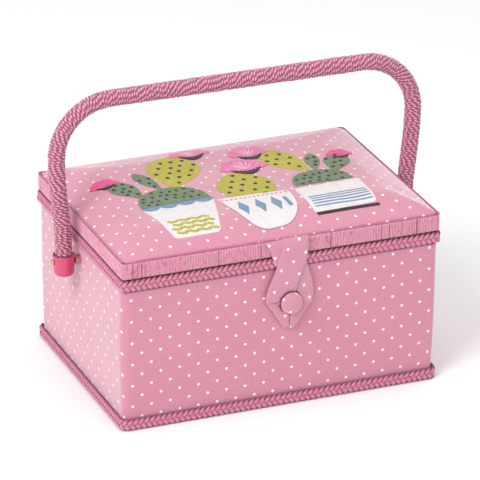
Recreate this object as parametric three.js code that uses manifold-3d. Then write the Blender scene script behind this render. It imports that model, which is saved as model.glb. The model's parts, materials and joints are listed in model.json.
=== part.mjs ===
// A fabric-covered sewing box: a boarded body with a hinged, padded lid, a bail handle
// wound with cord, a tape loop that drops over a covered button, and a lift-out tray.
// Millimetres. +Z is up, the front is -Y, and the origin is the centre of the underside.
import * as THREE from "three";
import { mergeVertices } from "three/addons/utils/BufferGeometryUtils.js";
import Module from "manifold-3d";

const wasm = await Module();
wasm.setup();

// ---- driving dimensions ----
const GAP = 0.3; // clearance left between pieces that touch on the real box
const BOARD = 5; // thickness of the body's wall boards

// outer size over the lid band, and the heights of the parting line, seam and crown
const LID = { width: 260, depth: 187, corner: 9, parting: 115, seam: 139, crown: 148 };
const RIM = { width: 254.8, depth: 181.8, corner: 7, bottom: LID.parting + GAP, top: 132.7 };

const BODY = { width: 251.6, depth: 178.6, corner: 10, bottom: 1.1, top: 114.6 };
const COVER_TOP = { width: 256.8, depth: 183.6, corner: 12 };
const COVER_FOOT = { width: 254, depth: 181, corner: 11.5 };
const BASE_BRAID = { width: 260, depth: 187, corner: 14, bottom: GAP, top: 9.6 };
const BRAID_TOP = 125.4; // top of the plait round the lid, where the gathered band starts

const UNDERSIDE = 0.8; // thickness of the cloth-covered card under the box
const FLOOR = { bottom: BODY.bottom, top: 5.1 };
const FLOOR_PAD = { bottom: FLOOR.top + GAP, top: 8.6 };
const LINING = 0.8;

const HANDLE = {
  legX: 142.6, // where the legs leave their caps
  bowX: 147, // widest point of the bowed legs
  pivotZ: 105,
  barZ: 233.5, // centre line of the top bar
  bend: 44, // radius of the upper bends
  wrapRadius: 6.35,
  coreRadius: 3.7,
  socketRadius: 4.7,
};
const BAIL_STEPS = 52; // facets along the whole bail
const CAP = { radius: 8.2, bottom: 94, top: 110.5, socketFloor: 99.5 };
const RIVET = { shank: 1.5, hole: 1.85, head: 2.3, tail: 2.6, washer: 5.5, spacer: 3.8 };

const BUTTON = { x: 5.2, z: 87.5, radius: 8.75, shankFoot: 92.4, standoff: 97.3, front: 102.9 };
const LOOP = { top: 138.8, inner: 94.2, outer: 96.6, holeRadius: 9.9 };

const HINGE = {
  x: 70, // distance of each hinge from the middle of the back
  y: 95.6, // pin axis, just behind the back
  z: LID.parting,
  halfWidth: 12,
  halfCentreKnuckle: 3.9,
  knuckleRadius: 2.3,
  pinRadius: 0.8,
  boreRadius: 1.15,
  screwSpread: 7, // of the two screws in each leaf, from the leaf's middle
};
const BODY_LEAF = { inner: 92.1, outer: 93.1, low: 94.5, high: HINGE.z - 0.6, screwZ: 101 };
const LID_LEAF = { inner: 93.8, outer: 95, low: HINGE.z + 2.8, high: 137.5, screwZ: 131.5 };
const SCREW = { shank: 0.8, hole: 1.15, head: 1.9, length: 6.5 };
const BACK = { inner: 80, outer: 100 }; // a stretch of Y that passes right through the back

const TRAY = { width: 231, depth: 164.8, corner: 6, wall: 1.8, bottom: 68, top: 109, floor: 70 };
const DIVIDER = { thickness: 1.6, y: 20, x: 38, top: 104 };
const GRIP = { halfLength: 30, z: 97, radius: 8 };
const LEDGE = { inner: 111, top: TRAY.bottom - GAP, bottom: 62, halfLength: 72 };

const PINCUSHION = { width: 84, depth: 62, corner: 14, x: -62, thickness: 8.4 };
const POCKET = { width: 108, depth: 76, corner: 8, x: 52, thickness: 5 };

// ---- finishes ----
const finish = (color, roughness, metalness = 0) =>
  new THREE.MeshStandardMaterial({ color, roughness, metalness });
const DOTTED_CLOTH = finish(0xe294ac, 0.85);
const GATHERED_CLOTH = finish(0xd28da0, 0.85);
const PLAITED_CORD = finish(0xbc6982, 0.8);
const WOUND_CORD = finish(0xd08ca2, 0.8);
const LINING_CLOTH = finish(0xf3d3dc, 0.9);
const BOARD_STOCK = finish(0xb99b75, 0.8);
const WADDING = finish(0xf4f1ec, 0.95);
const CAP_PLASTIC = finish(0xd8507a, 0.25);
const CORE_PLASTIC = finish(0xd9cfc0, 0.5);
const BRASS = finish(0xc9a24b, 0.3, 1);
const STEEL = finish(0xb8b8b8, 0.35, 1);
const TRAY_PLASTIC = finish(0xf1c9d6, 0.35);
const MOTIF_CLOTH = finish(0x8b9a7f, 0.8);

// ---- shape helpers ----
const CORNER_STEPS = 2; // half the number of facets in each rounded corner

/** A rounded rectangle centred on the origin. */
function roundedRect(width, depth, radius, Kind = THREE.Shape) {
  const x = width / 2 - radius;
  const y = depth / 2 - radius;
  const outline = new Kind();
  outline.absarc(x, y, radius, 0, Math.PI / 2);
  outline.absarc(-x, y, radius, Math.PI / 2, Math.PI);
  outline.absarc(-x, -y, radius, Math.PI, 1.5 * Math.PI);
  outline.absarc(x, -y, radius, 1.5 * Math.PI, 2 * Math.PI);
  outline.closePath();
  return outline;
}

/** A flat outline raised from z0 to z1. */
function raise(shape, z0, z1, curveSegments = CORNER_STEPS) {
  const options = { depth: z1 - z0, bevelEnabled: false, curveSegments };
  return new THREE.ExtrudeGeometry(shape, options).translate(0, 0, z0);
}

/** A rounded rectangular plate. */
function plate(size, z0, z1) {
  return raise(roundedRect(size.width, size.depth, size.corner), z0, z1);
}

/** A rounded rectangular hoop. */
function hoop(outer, inner, z0, z1) {
  const shape = roundedRect(outer.width, outer.depth, outer.corner);
  shape.holes.push(roundedRect(inner.width, inner.depth, inner.corner, THREE.Path));
  return raise(shape, z0, z1);
}

/** The same outline moved outwards by a distance (inwards if it is negative). */
function offset(size, distance) {
  return {
    width: size.width + 2 * distance,
    depth: size.depth + 2 * distance,
    corner: Math.max(size.corner + distance, 1),
  };
}

function block(x0, x1, y0, y1, z0, z1) {
  const box = new THREE.BoxGeometry(x1 - x0, y1 - y0, z1 - z0);
  return box.translate((x0 + x1) / 2, (y0 + y1) / 2, (z0 + z1) / 2);
}

/** A round bar of the given radius from a to b along the X or Y axis. */
function bar(axis, radius, a, b, across, z, sides = 12) {
  const rod = new THREE.CylinderGeometry(radius, radius, b - a, sides);
  if (axis === "x") return rod.rotateZ(-Math.PI / 2).translate((a + b) / 2, across, z);
  return rod.translate(0, (a + b) / 2, 0).translate(across, 0, z);
}

/** A turned piece: the profile's points are [radius, height] on the Z axis. */
function turned(profile, sides = 16) {
  const points = profile.map(([radius, height]) => new THREE.Vector2(radius, height));
  return new THREE.LatheGeometry(points, sides).rotateX(Math.PI / 2);
}

/** Points round a rounded rectangle at height z, the same count for every size. */
function ring(size, z) {
  const outline = roundedRect(size.width, size.depth, size.corner);
  const points = outline.getPoints(CORNER_STEPS);
  if (points[0].distanceTo(points[points.length - 1]) < 1e-6) points.pop();
  return points.map((p) => new THREE.Vector3(p.x, p.y, z));
}

/** A closed skin through a stack of rings. It is capped at both ends, or joined end to end. */
function loft(rings, joined = false) {
  const count = rings[0].length;
  const position = [];
  const triangle = (a, b, c) => position.push(...a.toArray(), ...b.toArray(), ...c.toArray());
  const last = joined ? rings.length : rings.length - 1;
  for (let level = 0; level < last; level += 1) {
    const low = rings[level];
    const high = rings[(level + 1) % rings.length];
    for (let i = 0; i < count; i += 1) {
      const j = (i + 1) % count;
      triangle(low[i], low[j], high[j]);
      triangle(low[i], high[j], high[i]);
    }
  }
  if (!joined) {
    const first = rings[0];
    const top = rings[rings.length - 1];
    for (let i = 1; i < count - 1; i += 1) {
      triangle(first[0], first[i + 1], first[i]);
      triangle(top[0], top[i], top[i + 1]);
    }
  }
  const geometry = new THREE.BufferGeometry();
  geometry.setAttribute("position", new THREE.Float32BufferAttribute(position, 3));
  return geometry;
}

// ---- joining and cutting ----
function toSolid(geometry) {
  const bare = new THREE.BufferGeometry();
  const flat = geometry.index ? geometry.toNonIndexed() : geometry;
  bare.setAttribute("position", flat.getAttribute("position"));
  const merged = mergeVertices(bare, 1e-4);
  const mesh = new wasm.Mesh({
    numProp: 3,
    vertProperties: new Float32Array(merged.attributes.position.array),
    triVerts: new Uint32Array(merged.index.array),
  });
  return new wasm.Manifold(mesh);
}

function toGeometry(solid) {
  const mesh = solid.getMesh();
  const geometry = new THREE.BufferGeometry();
  const position = new THREE.Float32BufferAttribute(mesh.vertProperties, 3);
  geometry.setAttribute("position", position);
  geometry.setIndex([...mesh.triVerts]);
  return geometry;
}

const join = (...pieces) => toGeometry(pieces.map(toSolid).reduce((a, b) => a.add(b)));
const cut = (piece, tools) =>
  toGeometry(tools.map(toSolid).reduce((a, b) => a.subtract(b), toSolid(piece)));

// ---- the assembly ----
const box = new THREE.Group();

function add(name, geometry, material) {
  const mesh = new THREE.Mesh(geometry, material);
  mesh.name = name;
  box.add(mesh);
  return mesh;
}

const SIDES = [
  { side: "left", sign: -1 },
  { side: "right", sign: 1 },
];

/** A left and a right bore on the handle's pivot line, each reaching from one X to another. */
const rivetBores = (from, to) =>
  SIDES.map(({ sign }) => {
    const [low, high] = [sign * from, sign * to].sort((a, b) => a - b);
    return bar("x", RIVET.hole, low, high, 0, HANDLE.pivotZ);
  });

/** Where the hinge screws stand across the back, in pairs. */
const screwPlaces = SIDES.flatMap(({ side, sign }) => [
  { name: `${side}_outer`, x: sign * (HINGE.x + HINGE.screwSpread) },
  { name: `${side}_inner`, x: sign * (HINGE.x - HINGE.screwSpread) },
]);
const screwBore = (x, z) => bar("y", SCREW.hole, BACK.inner, BACK.outer, x, z, 8);
const screwBores = (z) => screwPlaces.map(({ x }) => screwBore(x, z));

/** One mitred wall board with its outer end corners rounded, facing -Y before it is turned. */
function board(length, reach, thickness, corner, z0, z1, turn) {
  const half = length / 2;
  const shy = 0.2; // each mitre is cut this much short
  const arcX = half - corner - shy;
  const arcY = -(reach - corner);
  const shape = new THREE.Shape();
  shape.moveTo(-(half - thickness) + shy, -(reach - thickness));
  shape.lineTo(half - thickness - shy, -(reach - thickness));
  shape.absarc(arcX, arcY, corner, -Math.PI / 4, -Math.PI / 2, true);
  shape.absarc(-arcX, arcY, corner, -Math.PI / 2, -0.75 * Math.PI, true);
  shape.closePath();
  return raise(shape, z0, z1).rotateZ(turn);
}

/** Four boards round a rectangle, named prefix_front and so on. */
function fourBoards(prefix, size, thickness, z0, z1, bores) {
  const { width, depth, corner } = size;
  const quarter = Math.PI / 2;
  const places = [
    ["front", width, depth / 2, 0],
    ["right", depth, width / 2, quarter],
    ["back", width, depth / 2, 2 * quarter],
    ["left", depth, width / 2, 3 * quarter],
  ];
  for (const [side, length, reach, turn] of places) {
    let geometry = board(length, reach, thickness, corner, z0, z1, turn);
    if (bores[side]) geometry = cut(geometry, bores[side]);
    add(`${prefix}_${side}`, geometry, BOARD_STOCK);
  }
}

// ---- body ----
const inside = offset(BODY, -BOARD - GAP);
inside.corner = 1;

function buildBody() {
  add("underside_cover", plate(offset(BODY, -GAP), 0, UNDERSIDE), LINING_CLOTH);
  add("bottom_board", plate(inside, FLOOR.bottom, FLOOR.top), BOARD_STOCK);

  const wallBores = rivetBores(inside.width / 2 - BOARD, HANDLE.legX);
  const backBores = screwBores(BODY_LEAF.screwZ);
  const bores = { left: [wallBores[0]], right: [wallBores[1]], back: backBores };
  fourBoards("wall", BODY, BOARD, BODY.bottom, BODY.top, bores);

  const skin = offset(BODY, GAP);
  const cover = loft(
    [
      ring(COVER_FOOT, BODY.bottom),
      ring(COVER_TOP, BODY.top),
      ring(skin, BODY.top),
      ring(skin, BODY.bottom),
    ],
    true,
  );
  add("body_cover", cut(cover, [...wallBores, ...backBores]), DOTTED_CLOTH);

  const braidInner = offset(COVER_FOOT, 0.5);
  add("base_braid", hoop(BASE_BRAID, braidInner, BASE_BRAID.bottom, BASE_BRAID.top), PLAITED_CORD);

  const lining = hoop(inside, offset(inside, -LINING), FLOOR_PAD.bottom, BODY.top - 0.8);
  add("lining_walls", cut(lining, wallBores), LINING_CLOTH);
  const pad = offset(inside, -LINING - GAP);
  add("floor_pad", plate(pad, FLOOR_PAD.bottom, FLOOR_PAD.top), LINING_CLOTH);

  const ledgeOuter = inside.width / 2 - LINING - GAP;
  for (const { side, sign } of SIDES) {
    const near = Math.min(sign * LEDGE.inner, sign * ledgeOuter);
    const far = Math.max(sign * LEDGE.inner, sign * ledgeOuter);
    const strip = block(near, far, -LEDGE.halfLength, LEDGE.halfLength, LEDGE.bottom, LEDGE.top);
    add(`tray_ledge_${side}`, strip, BOARD_STOCK);
  }
}

// ---- button on the front wall ----
/** A turned piece with its axis pointing out of the front at the button's place. */
function onFront(geometry) {
  return geometry.rotateX(Math.PI / 2).translate(BUTTON.x, 0, BUTTON.z);
}

function buildButton() {
  const { radius, shankFoot, standoff, front } = BUTTON;
  const shank = 2.2;
  const backRadius = radius - 1.35;
  const backProfile = [
    [0, shankFoot],
    [shank, shankFoot],
    [shank, standoff + GAP],
    [backRadius, standoff + GAP],
    [backRadius, standoff + 1.3],
    [backRadius - 1.9, front - 2.5],
    [0, front - 1.7],
  ];
  const coverProfile = [
    [0, front - 1.2],
    [5.8, front - 2],
    [radius - 0.95, standoff + 1.5],
    [radius - 0.95, standoff],
    [radius - 0.25, standoff],
    [radius, standoff + 0.7],
    [radius - 0.25, standoff + 2],
    [7, front - 1.7],
    [4, front - 0.4],
    [0, front],
  ];
  add("button_back", onFront(turned(backProfile)), STEEL);
  add("button_cover", onFront(turned(coverProfile)), DOTTED_CLOTH);
}

// ---- handle ----
/** The bail's centre line, from the left leg at startZ over the bar to the right leg. */
function bailPath(startZ) {
  const { legX, bowX, barZ, bend } = HANDLE;
  const shoulderZ = barZ - bend;
  const legSteps = 7;
  const bendSteps = 8;
  const half = [];
  for (let i = 0; i <= legSteps; i += 1) {
    const z = startZ + (shoulderZ - startZ) * (i / legSteps);
    const rise = Math.max(z - CAP.top, 0) / (shoulderZ - CAP.top);
    half.push([legX + (bowX - legX) * Math.sin((rise * Math.PI) / 2) ** 2, z]);
  }
  for (let i = 1; i <= bendSteps; i += 1) {
    const a = (i / bendSteps) * (Math.PI / 2);
    half.push([bowX - bend + bend * Math.cos(a), shoulderZ + bend * Math.sin(a)]);
  }
  half.push([(bowX - bend) / 2, barZ]);
  const left = half.map(([x, z]) => new THREE.Vector3(-x, 0, z));
  const right = half.map(([x, z]) => new THREE.Vector3(x, 0, z)).reverse();
  return new THREE.CatmullRomCurve3([...left, new THREE.Vector3(0, 0, barZ), ...right]);
}

function alongBail(shape, startZ, sideSegments) {
  const options = {
    extrudePath: bailPath(startZ),
    steps: BAIL_STEPS,
    bevelEnabled: false,
    curveSegments: sideSegments,
  };
  return new THREE.ExtrudeGeometry(shape, options);
}

function disc(radius, Kind = THREE.Shape) {
  const circle = new Kind();
  circle.absarc(0, 0, radius, 0, 2 * Math.PI);
  return circle;
}

function buildHandle() {
  const crossBores = rivetBores(HANDLE.legX - 12, HANDLE.legX + 12);
  const core = alongBail(disc(HANDLE.coreRadius), CAP.socketFloor + GAP, 4);
  add("handle_core", cut(core, crossBores), CORE_PLASTIC);

  const winding = disc(HANDLE.wrapRadius);
  winding.holes.push(disc(HANDLE.socketRadius, THREE.Path));
  add("handle_wrap", alongBail(winding, CAP.top + GAP, 5), WOUND_CORD);

  const { radius, bottom, top, socketFloor } = CAP;
  const capProfile = [
    [0, bottom],
    [radius - 3, bottom],
    [radius - 0.8, bottom + 1.2],
    [radius, bottom + 3.6],
    [radius, top - 0.8],
    [radius - 0.6, top],
    [HANDLE.socketRadius, top],
    [HANDLE.socketRadius, socketFloor],
    [0, socketFloor],
  ];
  for (const { side, sign } of SIDES) {
    const cap = turned(capProfile).translate(sign * HANDLE.legX, 0, 0);
    add(`handle_cap_${side}`, cut(cap, crossBores), CAP_PLASTIC);
  }
}

/** A turned piece laid along X, pointing outwards on either side of the box at pivot height. */
function onPivot(geometry, sign) {
  const laid = geometry.rotateY(Math.PI / 2);
  if (sign < 0) laid.rotateZ(Math.PI);
  return laid.translate(0, 0, HANDLE.pivotZ);
}

function buildPivots() {
  const capOuter = HANDLE.legX + CAP.radius;
  const capInner = HANDLE.legX - CAP.radius;
  const coverOuter = COVER_TOP.width / 2;
  const washerInner = inside.width / 2 - LINING - 1.3;
  const tailEnd = washerInner - 1.3;
  const headFoot = capOuter + GAP;
  const rivetProfile = [
    [0, tailEnd],
    [RIVET.tail, tailEnd],
    [RIVET.tail, tailEnd + 1],
    [RIVET.shank, tailEnd + 1],
    [RIVET.shank, headFoot],
    [RIVET.head, headFoot],
    [RIVET.head, headFoot + 0.7],
    [RIVET.shank, headFoot + 1.5],
    [0, headFoot + 1.8],
  ];
  const tube = (inner, outer, from, to) => [
    [inner, from],
    [outer, from],
    [outer, to],
    [inner, to],
    [inner, from],
  ];
  const spacerProfile = tube(RIVET.hole, RIVET.spacer, coverOuter + GAP, capInner - GAP);
  const washerProfile = tube(RIVET.hole, RIVET.washer, washerInner, washerInner + 1);
  for (const { side, sign } of SIDES) {
    add(`handle_rivet_${side}`, onPivot(turned(rivetProfile, 12), sign), BRASS);
    add(`handle_spacer_${side}`, onPivot(turned(spacerProfile, 12), sign), BRASS);
    add(`rivet_washer_${side}`, onPivot(turned(washerProfile, 12), sign), STEEL);
  }
}

// ---- lid ----
const DOME_RUN = 22; // the padded crown rises over this distance from the edge
const LID_BOARD = 4; // thickness of the board over the rim
const COVER_CORNER = 6; // corner of the cloth over the crown

/** Rings that climb from the lid's edge to its crown. */
function crownRings(edge, edgeZ, topZ) {
  const insets = [0, 2, 6, 12, DOME_RUN];
  return insets.map((inset) => {
    const climb = 1 - (1 - inset / DOME_RUN) ** 2.4;
    const size = offset(edge, -inset);
    size.corner = edge.corner;
    return ring(size, edgeZ + (topZ - edgeZ) * climb);
  });
}

function buildLid() {
  const rimThickness = RIM.width / 2 - BODY.width / 2 + BOARD;
  const rimBores = { back: screwBores(LID_LEAF.screwZ) };
  fourBoards("lid_rim", RIM, rimThickness, RIM.bottom, RIM.top, rimBores);
  const boardTop = RIM.top + GAP + LID_BOARD;
  add("lid_board", plate(RIM, RIM.top + GAP, boardTop), BOARD_STOCK);

  const wadEdge = offset(RIM, -1);
  const wadding = crownRings(wadEdge, boardTop + 1.2, LID.crown - 1.4);
  add("lid_padding", loft([ring(wadEdge, boardTop + GAP), ...wadding]), WADDING);

  const seamEdge = { ...offset(LID, -GAP), corner: COVER_CORNER };
  const innerEdge = { ...offset(wadEdge, 0.8), corner: COVER_CORNER };
  const face = crownRings(seamEdge, LID.seam + GAP, LID.crown);
  const back = crownRings(innerEdge, LID.seam, LID.crown - 0.9).reverse();
  back[back.length - 1].forEach((p) => (p.z = LID.seam + GAP));
  add("lid_cover", loft([...back, ...face]), DOTTED_CLOTH);

  const bandInner = offset(RIM, GAP);
  const band = hoop(LID, bandInner, BRAID_TOP + GAP, LID.seam);
  add("lid_band", cut(band, screwBores(LID_LEAF.screwZ)), GATHERED_CLOTH);

  // The plait stops either side of each hinge, so it is one long piece and a short one.
  const hingeClear = HINGE.halfWidth + 0.6;
  const plait = hoop(LID, bandInner, RIM.bottom, BRAID_TOP);
  const shortEnd = HINGE.x - hingeClear;
  const longEnd = HINGE.x + hingeClear;
  const bottom = RIM.bottom;
  const rear = block(-longEnd, longEnd, BACK.inner, BACK.outer, bottom - 1, BRAID_TOP + 1);
  add("lid_braid", cut(plait, [rear]), PLAITED_CORD);
  const [near, far] = [bandInner.depth / 2, LID.depth / 2];
  const shortPlait = block(-shortEnd, shortEnd, near, far, bottom, BRAID_TOP);
  add("lid_braid_back", shortPlait, PLAITED_CORD);

  const liningZ = RIM.top - 1.8;
  add("lid_lining", plate(inside, liningZ, RIM.top - GAP), LINING_CLOTH);
  buildLidInside(liningZ - GAP);
}

/** The pincushion and the gathered pocket that hang under the lid's lining. */
function buildLidInside(ceiling) {
  const cushionFace = ceiling - PINCUSHION.thickness;
  const pad = [
    ring(offset(PINCUSHION, -9), cushionFace),
    ring(offset(PINCUSHION, -3), cushionFace + 1.2),
    ring(PINCUSHION, ceiling - PINCUSHION.thickness / 2),
    ring(offset(PINCUSHION, -2), ceiling),
  ];
  add("pincushion", loft(pad).translate(PINCUSHION.x, 0, 0), DOTTED_CLOTH);
  const pouch = [
    ring(offset(POCKET, -4), ceiling - POCKET.thickness),
    ring(POCKET, ceiling - POCKET.thickness / 2),
    ring(POCKET, ceiling),
  ];
  add("lid_pocket", loft(pouch).translate(POCKET.x, 0, 0), DOTTED_CLOTH);
}

// ---- hinges ----
function buildHinges() {
  const { x, y, z, halfWidth, halfCentreKnuckle, knuckleRadius, pinRadius, boreRadius } = HINGE;
  const centreGap = halfCentreKnuckle + GAP;
  const boreReach = halfWidth + 8;
  for (const { side, sign } of SIDES) {
    const at = sign * x;
    const knuckle = (from, to) => bar("x", knuckleRadius, at + from, at + to, y, z);
    const bore = bar("x", boreRadius, at - boreReach, at + boreReach, y, z);
    const ends = [
      [-halfWidth, -centreGap],
      [centreGap, halfWidth],
    ];
    const drilled = (height) =>
      screwPlaces
        .filter((screw) => screw.name.startsWith(side))
        .map((screw) => screwBore(screw.x, height));

    // Each leaf is a flat plate with a web that reaches back from it to the knuckles.
    const { inner, outer, low, high } = BODY_LEAF;
    const bodyLeaf = join(
      block(at - halfWidth, at + halfWidth, inner, outer, low, high),
      ...ends.map(([from, to]) => block(at + from, at + to, inner, y, high - 1.5, high)),
      ...ends.map(([from, to]) => knuckle(from, to)),
    );
    add(`hinge_body_leaf_${side}`, cut(bodyLeaf, [bore, ...drilled(BODY_LEAF.screwZ)]), BRASS);

    const { inner: face, low: foot } = LID_LEAF;
    const lidLeaf = join(
      block(at - halfWidth, at + halfWidth, face, LID_LEAF.outer, foot, LID_LEAF.high),
      block(at - halfCentreKnuckle, at + halfCentreKnuckle, face, y, z, foot + 1),
      knuckle(-halfCentreKnuckle, halfCentreKnuckle),
    );
    add(`hinge_lid_leaf_${side}`, cut(lidLeaf, [bore, ...drilled(LID_LEAF.screwZ)]), BRASS);
    const pinEnd = halfWidth + 0.4;
    add(`hinge_pin_${side}`, bar("x", pinRadius, at - pinEnd, at + pinEnd, y, z, 8), STEEL);
  }
}

/** Small dome-headed screws that stand in the back, driven towards the front. */
function buildScrews() {
  const { shank, head, length } = SCREW;
  const rows = [
    { prefix: "hinge_body_screw", z: BODY_LEAF.screwZ, face: BODY_LEAF.outer + GAP },
    { prefix: "hinge_lid_screw", z: LID_LEAF.screwZ, face: LID_LEAF.outer + GAP },
  ];
  for (const { prefix, z, face } of rows) {
    const profile = [
      [0, face - length],
      [shank, face - length],
      [shank, face],
      [head, face],
      [head * 0.7, face + 0.6],
      [0, face + 0.8],
    ];
    for (const { name, x } of screwPlaces) {
      const screw = turned(profile, 8).rotateX(-Math.PI / 2).translate(x, 0, z);
      add(`${prefix}_${name}`, screw, BRASS);
    }
  }
}

// ---- closing loop ----
/** A folded tape loop: a flat tab with a point at the foot and a hole for the button. */
function buildLoop() {
  const tab = new THREE.Shape();
  tab.moveTo(-17, LOOP.top);
  tab.lineTo(-10.5, 121);
  tab.lineTo(-16, 95);
  tab.lineTo(4.7, 65);
  tab.lineTo(24.5, 92);
  tab.lineTo(17.5, 120);
  tab.lineTo(20, LOOP.top);
  tab.closePath();
  const eye = new THREE.Path();
  eye.absarc(BUTTON.x, BUTTON.z, LOOP.holeRadius, 0, 2 * Math.PI);
  tab.holes.push(eye);
  const geometry = raise(tab, LOOP.inner, LOOP.outer, 10).rotateX(Math.PI / 2);
  add("closure_loop", geometry, DOTTED_CLOTH);
}

// ---- motif pieces on the lid ----
const MOTIF = { bottom: LID.crown + GAP, top: LID.crown + 1.1 };

/** A potted plant cut from cloth: a tapered pot with rounded pads above it. */
function pottedPlant(pot, pads) {
  const outline = new THREE.Shape();
  outline.moveTo(pot.x - pot.foot / 2, pot.y0);
  outline.lineTo(pot.x + pot.foot / 2, pot.y0);
  outline.lineTo(pot.x + pot.rim / 2, pot.y1);
  outline.lineTo(pot.x - pot.rim / 2, pot.y1);
  outline.closePath();
  const pieces = [raise(outline, MOTIF.bottom, MOTIF.top)];
  for (const [x, y, rx, ry, lean] of pads) {
    const pad = new THREE.Shape();
    pad.absellipse(x, y, rx, ry, 0, 2 * Math.PI, false, lean);
    pieces.push(raise(pad, MOTIF.bottom, MOTIF.top, 6));
  }
  return join(...pieces);
}

function buildMotifs() {
  const left = { x: -56, foot: 40, rim: 61, y0: -67, y1: -18 };
  const leftPads = [
    [-52, -6, 24, 26, 0],
    [-84, 14, 8, 24, 0.5],
    [-66, 28, 8, 22, 0.2],
    [-38, 44, 14, 32, -0.2],
  ];
  const middle = { x: 3, foot: 35, rim: 58, y0: -69, y1: -23 };
  const middlePads = [
    [4, -8, 26, 30, 0],
    [18, 28, 20, 20, 0],
  ];
  const right = { x: 66, foot: 54, rim: 55, y0: -63, y1: -20 };
  const rightPads = [
    [66, -10, 24, 24, 0],
    [72, 22, 8, 20, 0.1],
    [90, 16, 9, 22, -0.3],
    [52, 32, 14, 30, -0.1],
  ];
  add("motif_left", pottedPlant(left, leftPads), MOTIF_CLOTH);
  add("motif_middle", pottedPlant(middle, middlePads), MOTIF_CLOTH);
  add("motif_right", pottedPlant(right, rightPads), MOTIF_CLOTH);
}

// ---- tray ----
function buildTray() {
  const { wall, bottom, top, floor } = TRAY;
  const cavity = offset(TRAY, -wall);
  const shell = loft([
    ring(TRAY, bottom),
    ring(TRAY, top),
    ring(cavity, top),
    ring(cavity, floor),
  ]);
  add("tray_shell", shell, TRAY_PLASTIC);

  const half = DIVIDER.thickness / 2;
  const foot = floor + GAP;
  const rail = new THREE.Shape();
  const reach = cavity.width / 2 - GAP;
  rail.moveTo(-reach, foot);
  rail.lineTo(reach, foot);
  rail.lineTo(reach, top);
  rail.lineTo(-reach, top);
  rail.closePath();
  const grip = new THREE.Path();
  const gripEnd = GRIP.halfLength - GRIP.radius;
  grip.absarc(gripEnd, GRIP.z, GRIP.radius, -Math.PI / 2, Math.PI / 2);
  grip.absarc(-gripEnd, GRIP.z, GRIP.radius, Math.PI / 2, 1.5 * Math.PI);
  rail.holes.push(grip);
  const long = raise(rail, -DIVIDER.y - half, -DIVIDER.y + half, 5).rotateX(Math.PI / 2);
  add("tray_divider_long", long, TRAY_PLASTIC);

  const front = -cavity.depth / 2 + GAP;
  const rear = DIVIDER.y - half - GAP;
  for (const { side, sign } of SIDES) {
    const x = sign * DIVIDER.x;
    const wallPiece = block(x - half, x + half, front, rear, foot, DIVIDER.top);
    add(`tray_divider_${side}`, wallPiece, TRAY_PLASTIC);
  }
}

buildBody();
buildButton();
buildHandle();
buildPivots();
buildLid();
buildHinges();
buildScrews();
buildLoop();
buildMotifs();
buildTray();

export default box;
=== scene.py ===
"""A fabric-covered sewing box: dotted cotton over boards, a padded lid with applied cloth pot plants,
plaits and a gathered band, a cord-wound bail handle, a tape loop over a covered button and a divided tray."""
import json
import math

import bmesh
import bpy
import numpy as np
from mathutils import Matrix, Vector
from mathutils.bvhtree import BVHTree
from mathutils.geometry import delaunay_2d_cdt

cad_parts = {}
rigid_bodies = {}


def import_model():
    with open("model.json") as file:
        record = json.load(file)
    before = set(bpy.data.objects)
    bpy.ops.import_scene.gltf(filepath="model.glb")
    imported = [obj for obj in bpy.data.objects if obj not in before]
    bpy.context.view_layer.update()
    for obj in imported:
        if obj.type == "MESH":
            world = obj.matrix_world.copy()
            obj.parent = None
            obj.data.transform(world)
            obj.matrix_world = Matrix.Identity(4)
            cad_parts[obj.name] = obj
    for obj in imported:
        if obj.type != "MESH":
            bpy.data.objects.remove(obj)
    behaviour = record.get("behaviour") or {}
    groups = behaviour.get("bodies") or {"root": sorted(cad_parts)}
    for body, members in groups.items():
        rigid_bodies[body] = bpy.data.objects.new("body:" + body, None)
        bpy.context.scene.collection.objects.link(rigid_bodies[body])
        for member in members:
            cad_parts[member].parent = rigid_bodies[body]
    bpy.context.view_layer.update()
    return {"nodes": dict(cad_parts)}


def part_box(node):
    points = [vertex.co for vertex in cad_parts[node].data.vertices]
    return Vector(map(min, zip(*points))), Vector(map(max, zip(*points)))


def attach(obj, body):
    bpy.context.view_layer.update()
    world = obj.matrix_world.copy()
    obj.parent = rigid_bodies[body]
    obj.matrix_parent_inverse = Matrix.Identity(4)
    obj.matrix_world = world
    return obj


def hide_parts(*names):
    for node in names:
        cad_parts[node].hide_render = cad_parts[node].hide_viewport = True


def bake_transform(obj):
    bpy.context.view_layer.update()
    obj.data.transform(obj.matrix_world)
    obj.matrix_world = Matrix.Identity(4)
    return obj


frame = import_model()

nodes = frame["nodes"]
MM = 0.001
TURN = 2 * math.pi
SIDES = (("left", -1), ("right", 1))


def span(node):
    """The lowest and highest corner of a CAD solid, in millimetres."""
    low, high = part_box(node)
    return np.array(low) / MM, np.array(high) / MM


# ---------------------------------------------------------------- camera and light

def set_camera():
    """A long lens, looking down on the left front corner of the box."""
    azimuth, elevation, roll = (math.radians(a) for a in (-22.546, 24.068, 0.645))
    back = Vector((math.sin(azimuth) * math.cos(elevation), -math.cos(azimuth) * math.cos(elevation),
                   math.sin(elevation)))
    right = Vector((0, 0, 1)).cross(back).normalized()
    up = back.cross(right)
    turned_right = right * math.cos(roll) + up * math.sin(roll)
    turned_up = up * math.cos(roll) - right * math.sin(roll)
    lens = bpy.data.cameras.new("camera")
    lens.sensor_width = 36
    lens.lens = 308.9
    lens.clip_start = 0.1
    lens.clip_end = 60
    camera = bpy.data.objects.new("camera", lens)
    bpy.context.scene.collection.objects.link(camera)
    frame_matrix = Matrix((turned_right, turned_up, back)).transposed().to_4x4()
    frame_matrix.translation = Vector((0.00303, 0, 0.0991)) + back * 3.2
    camera.matrix_world = frame_matrix
    bpy.context.scene.camera = camera


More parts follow.
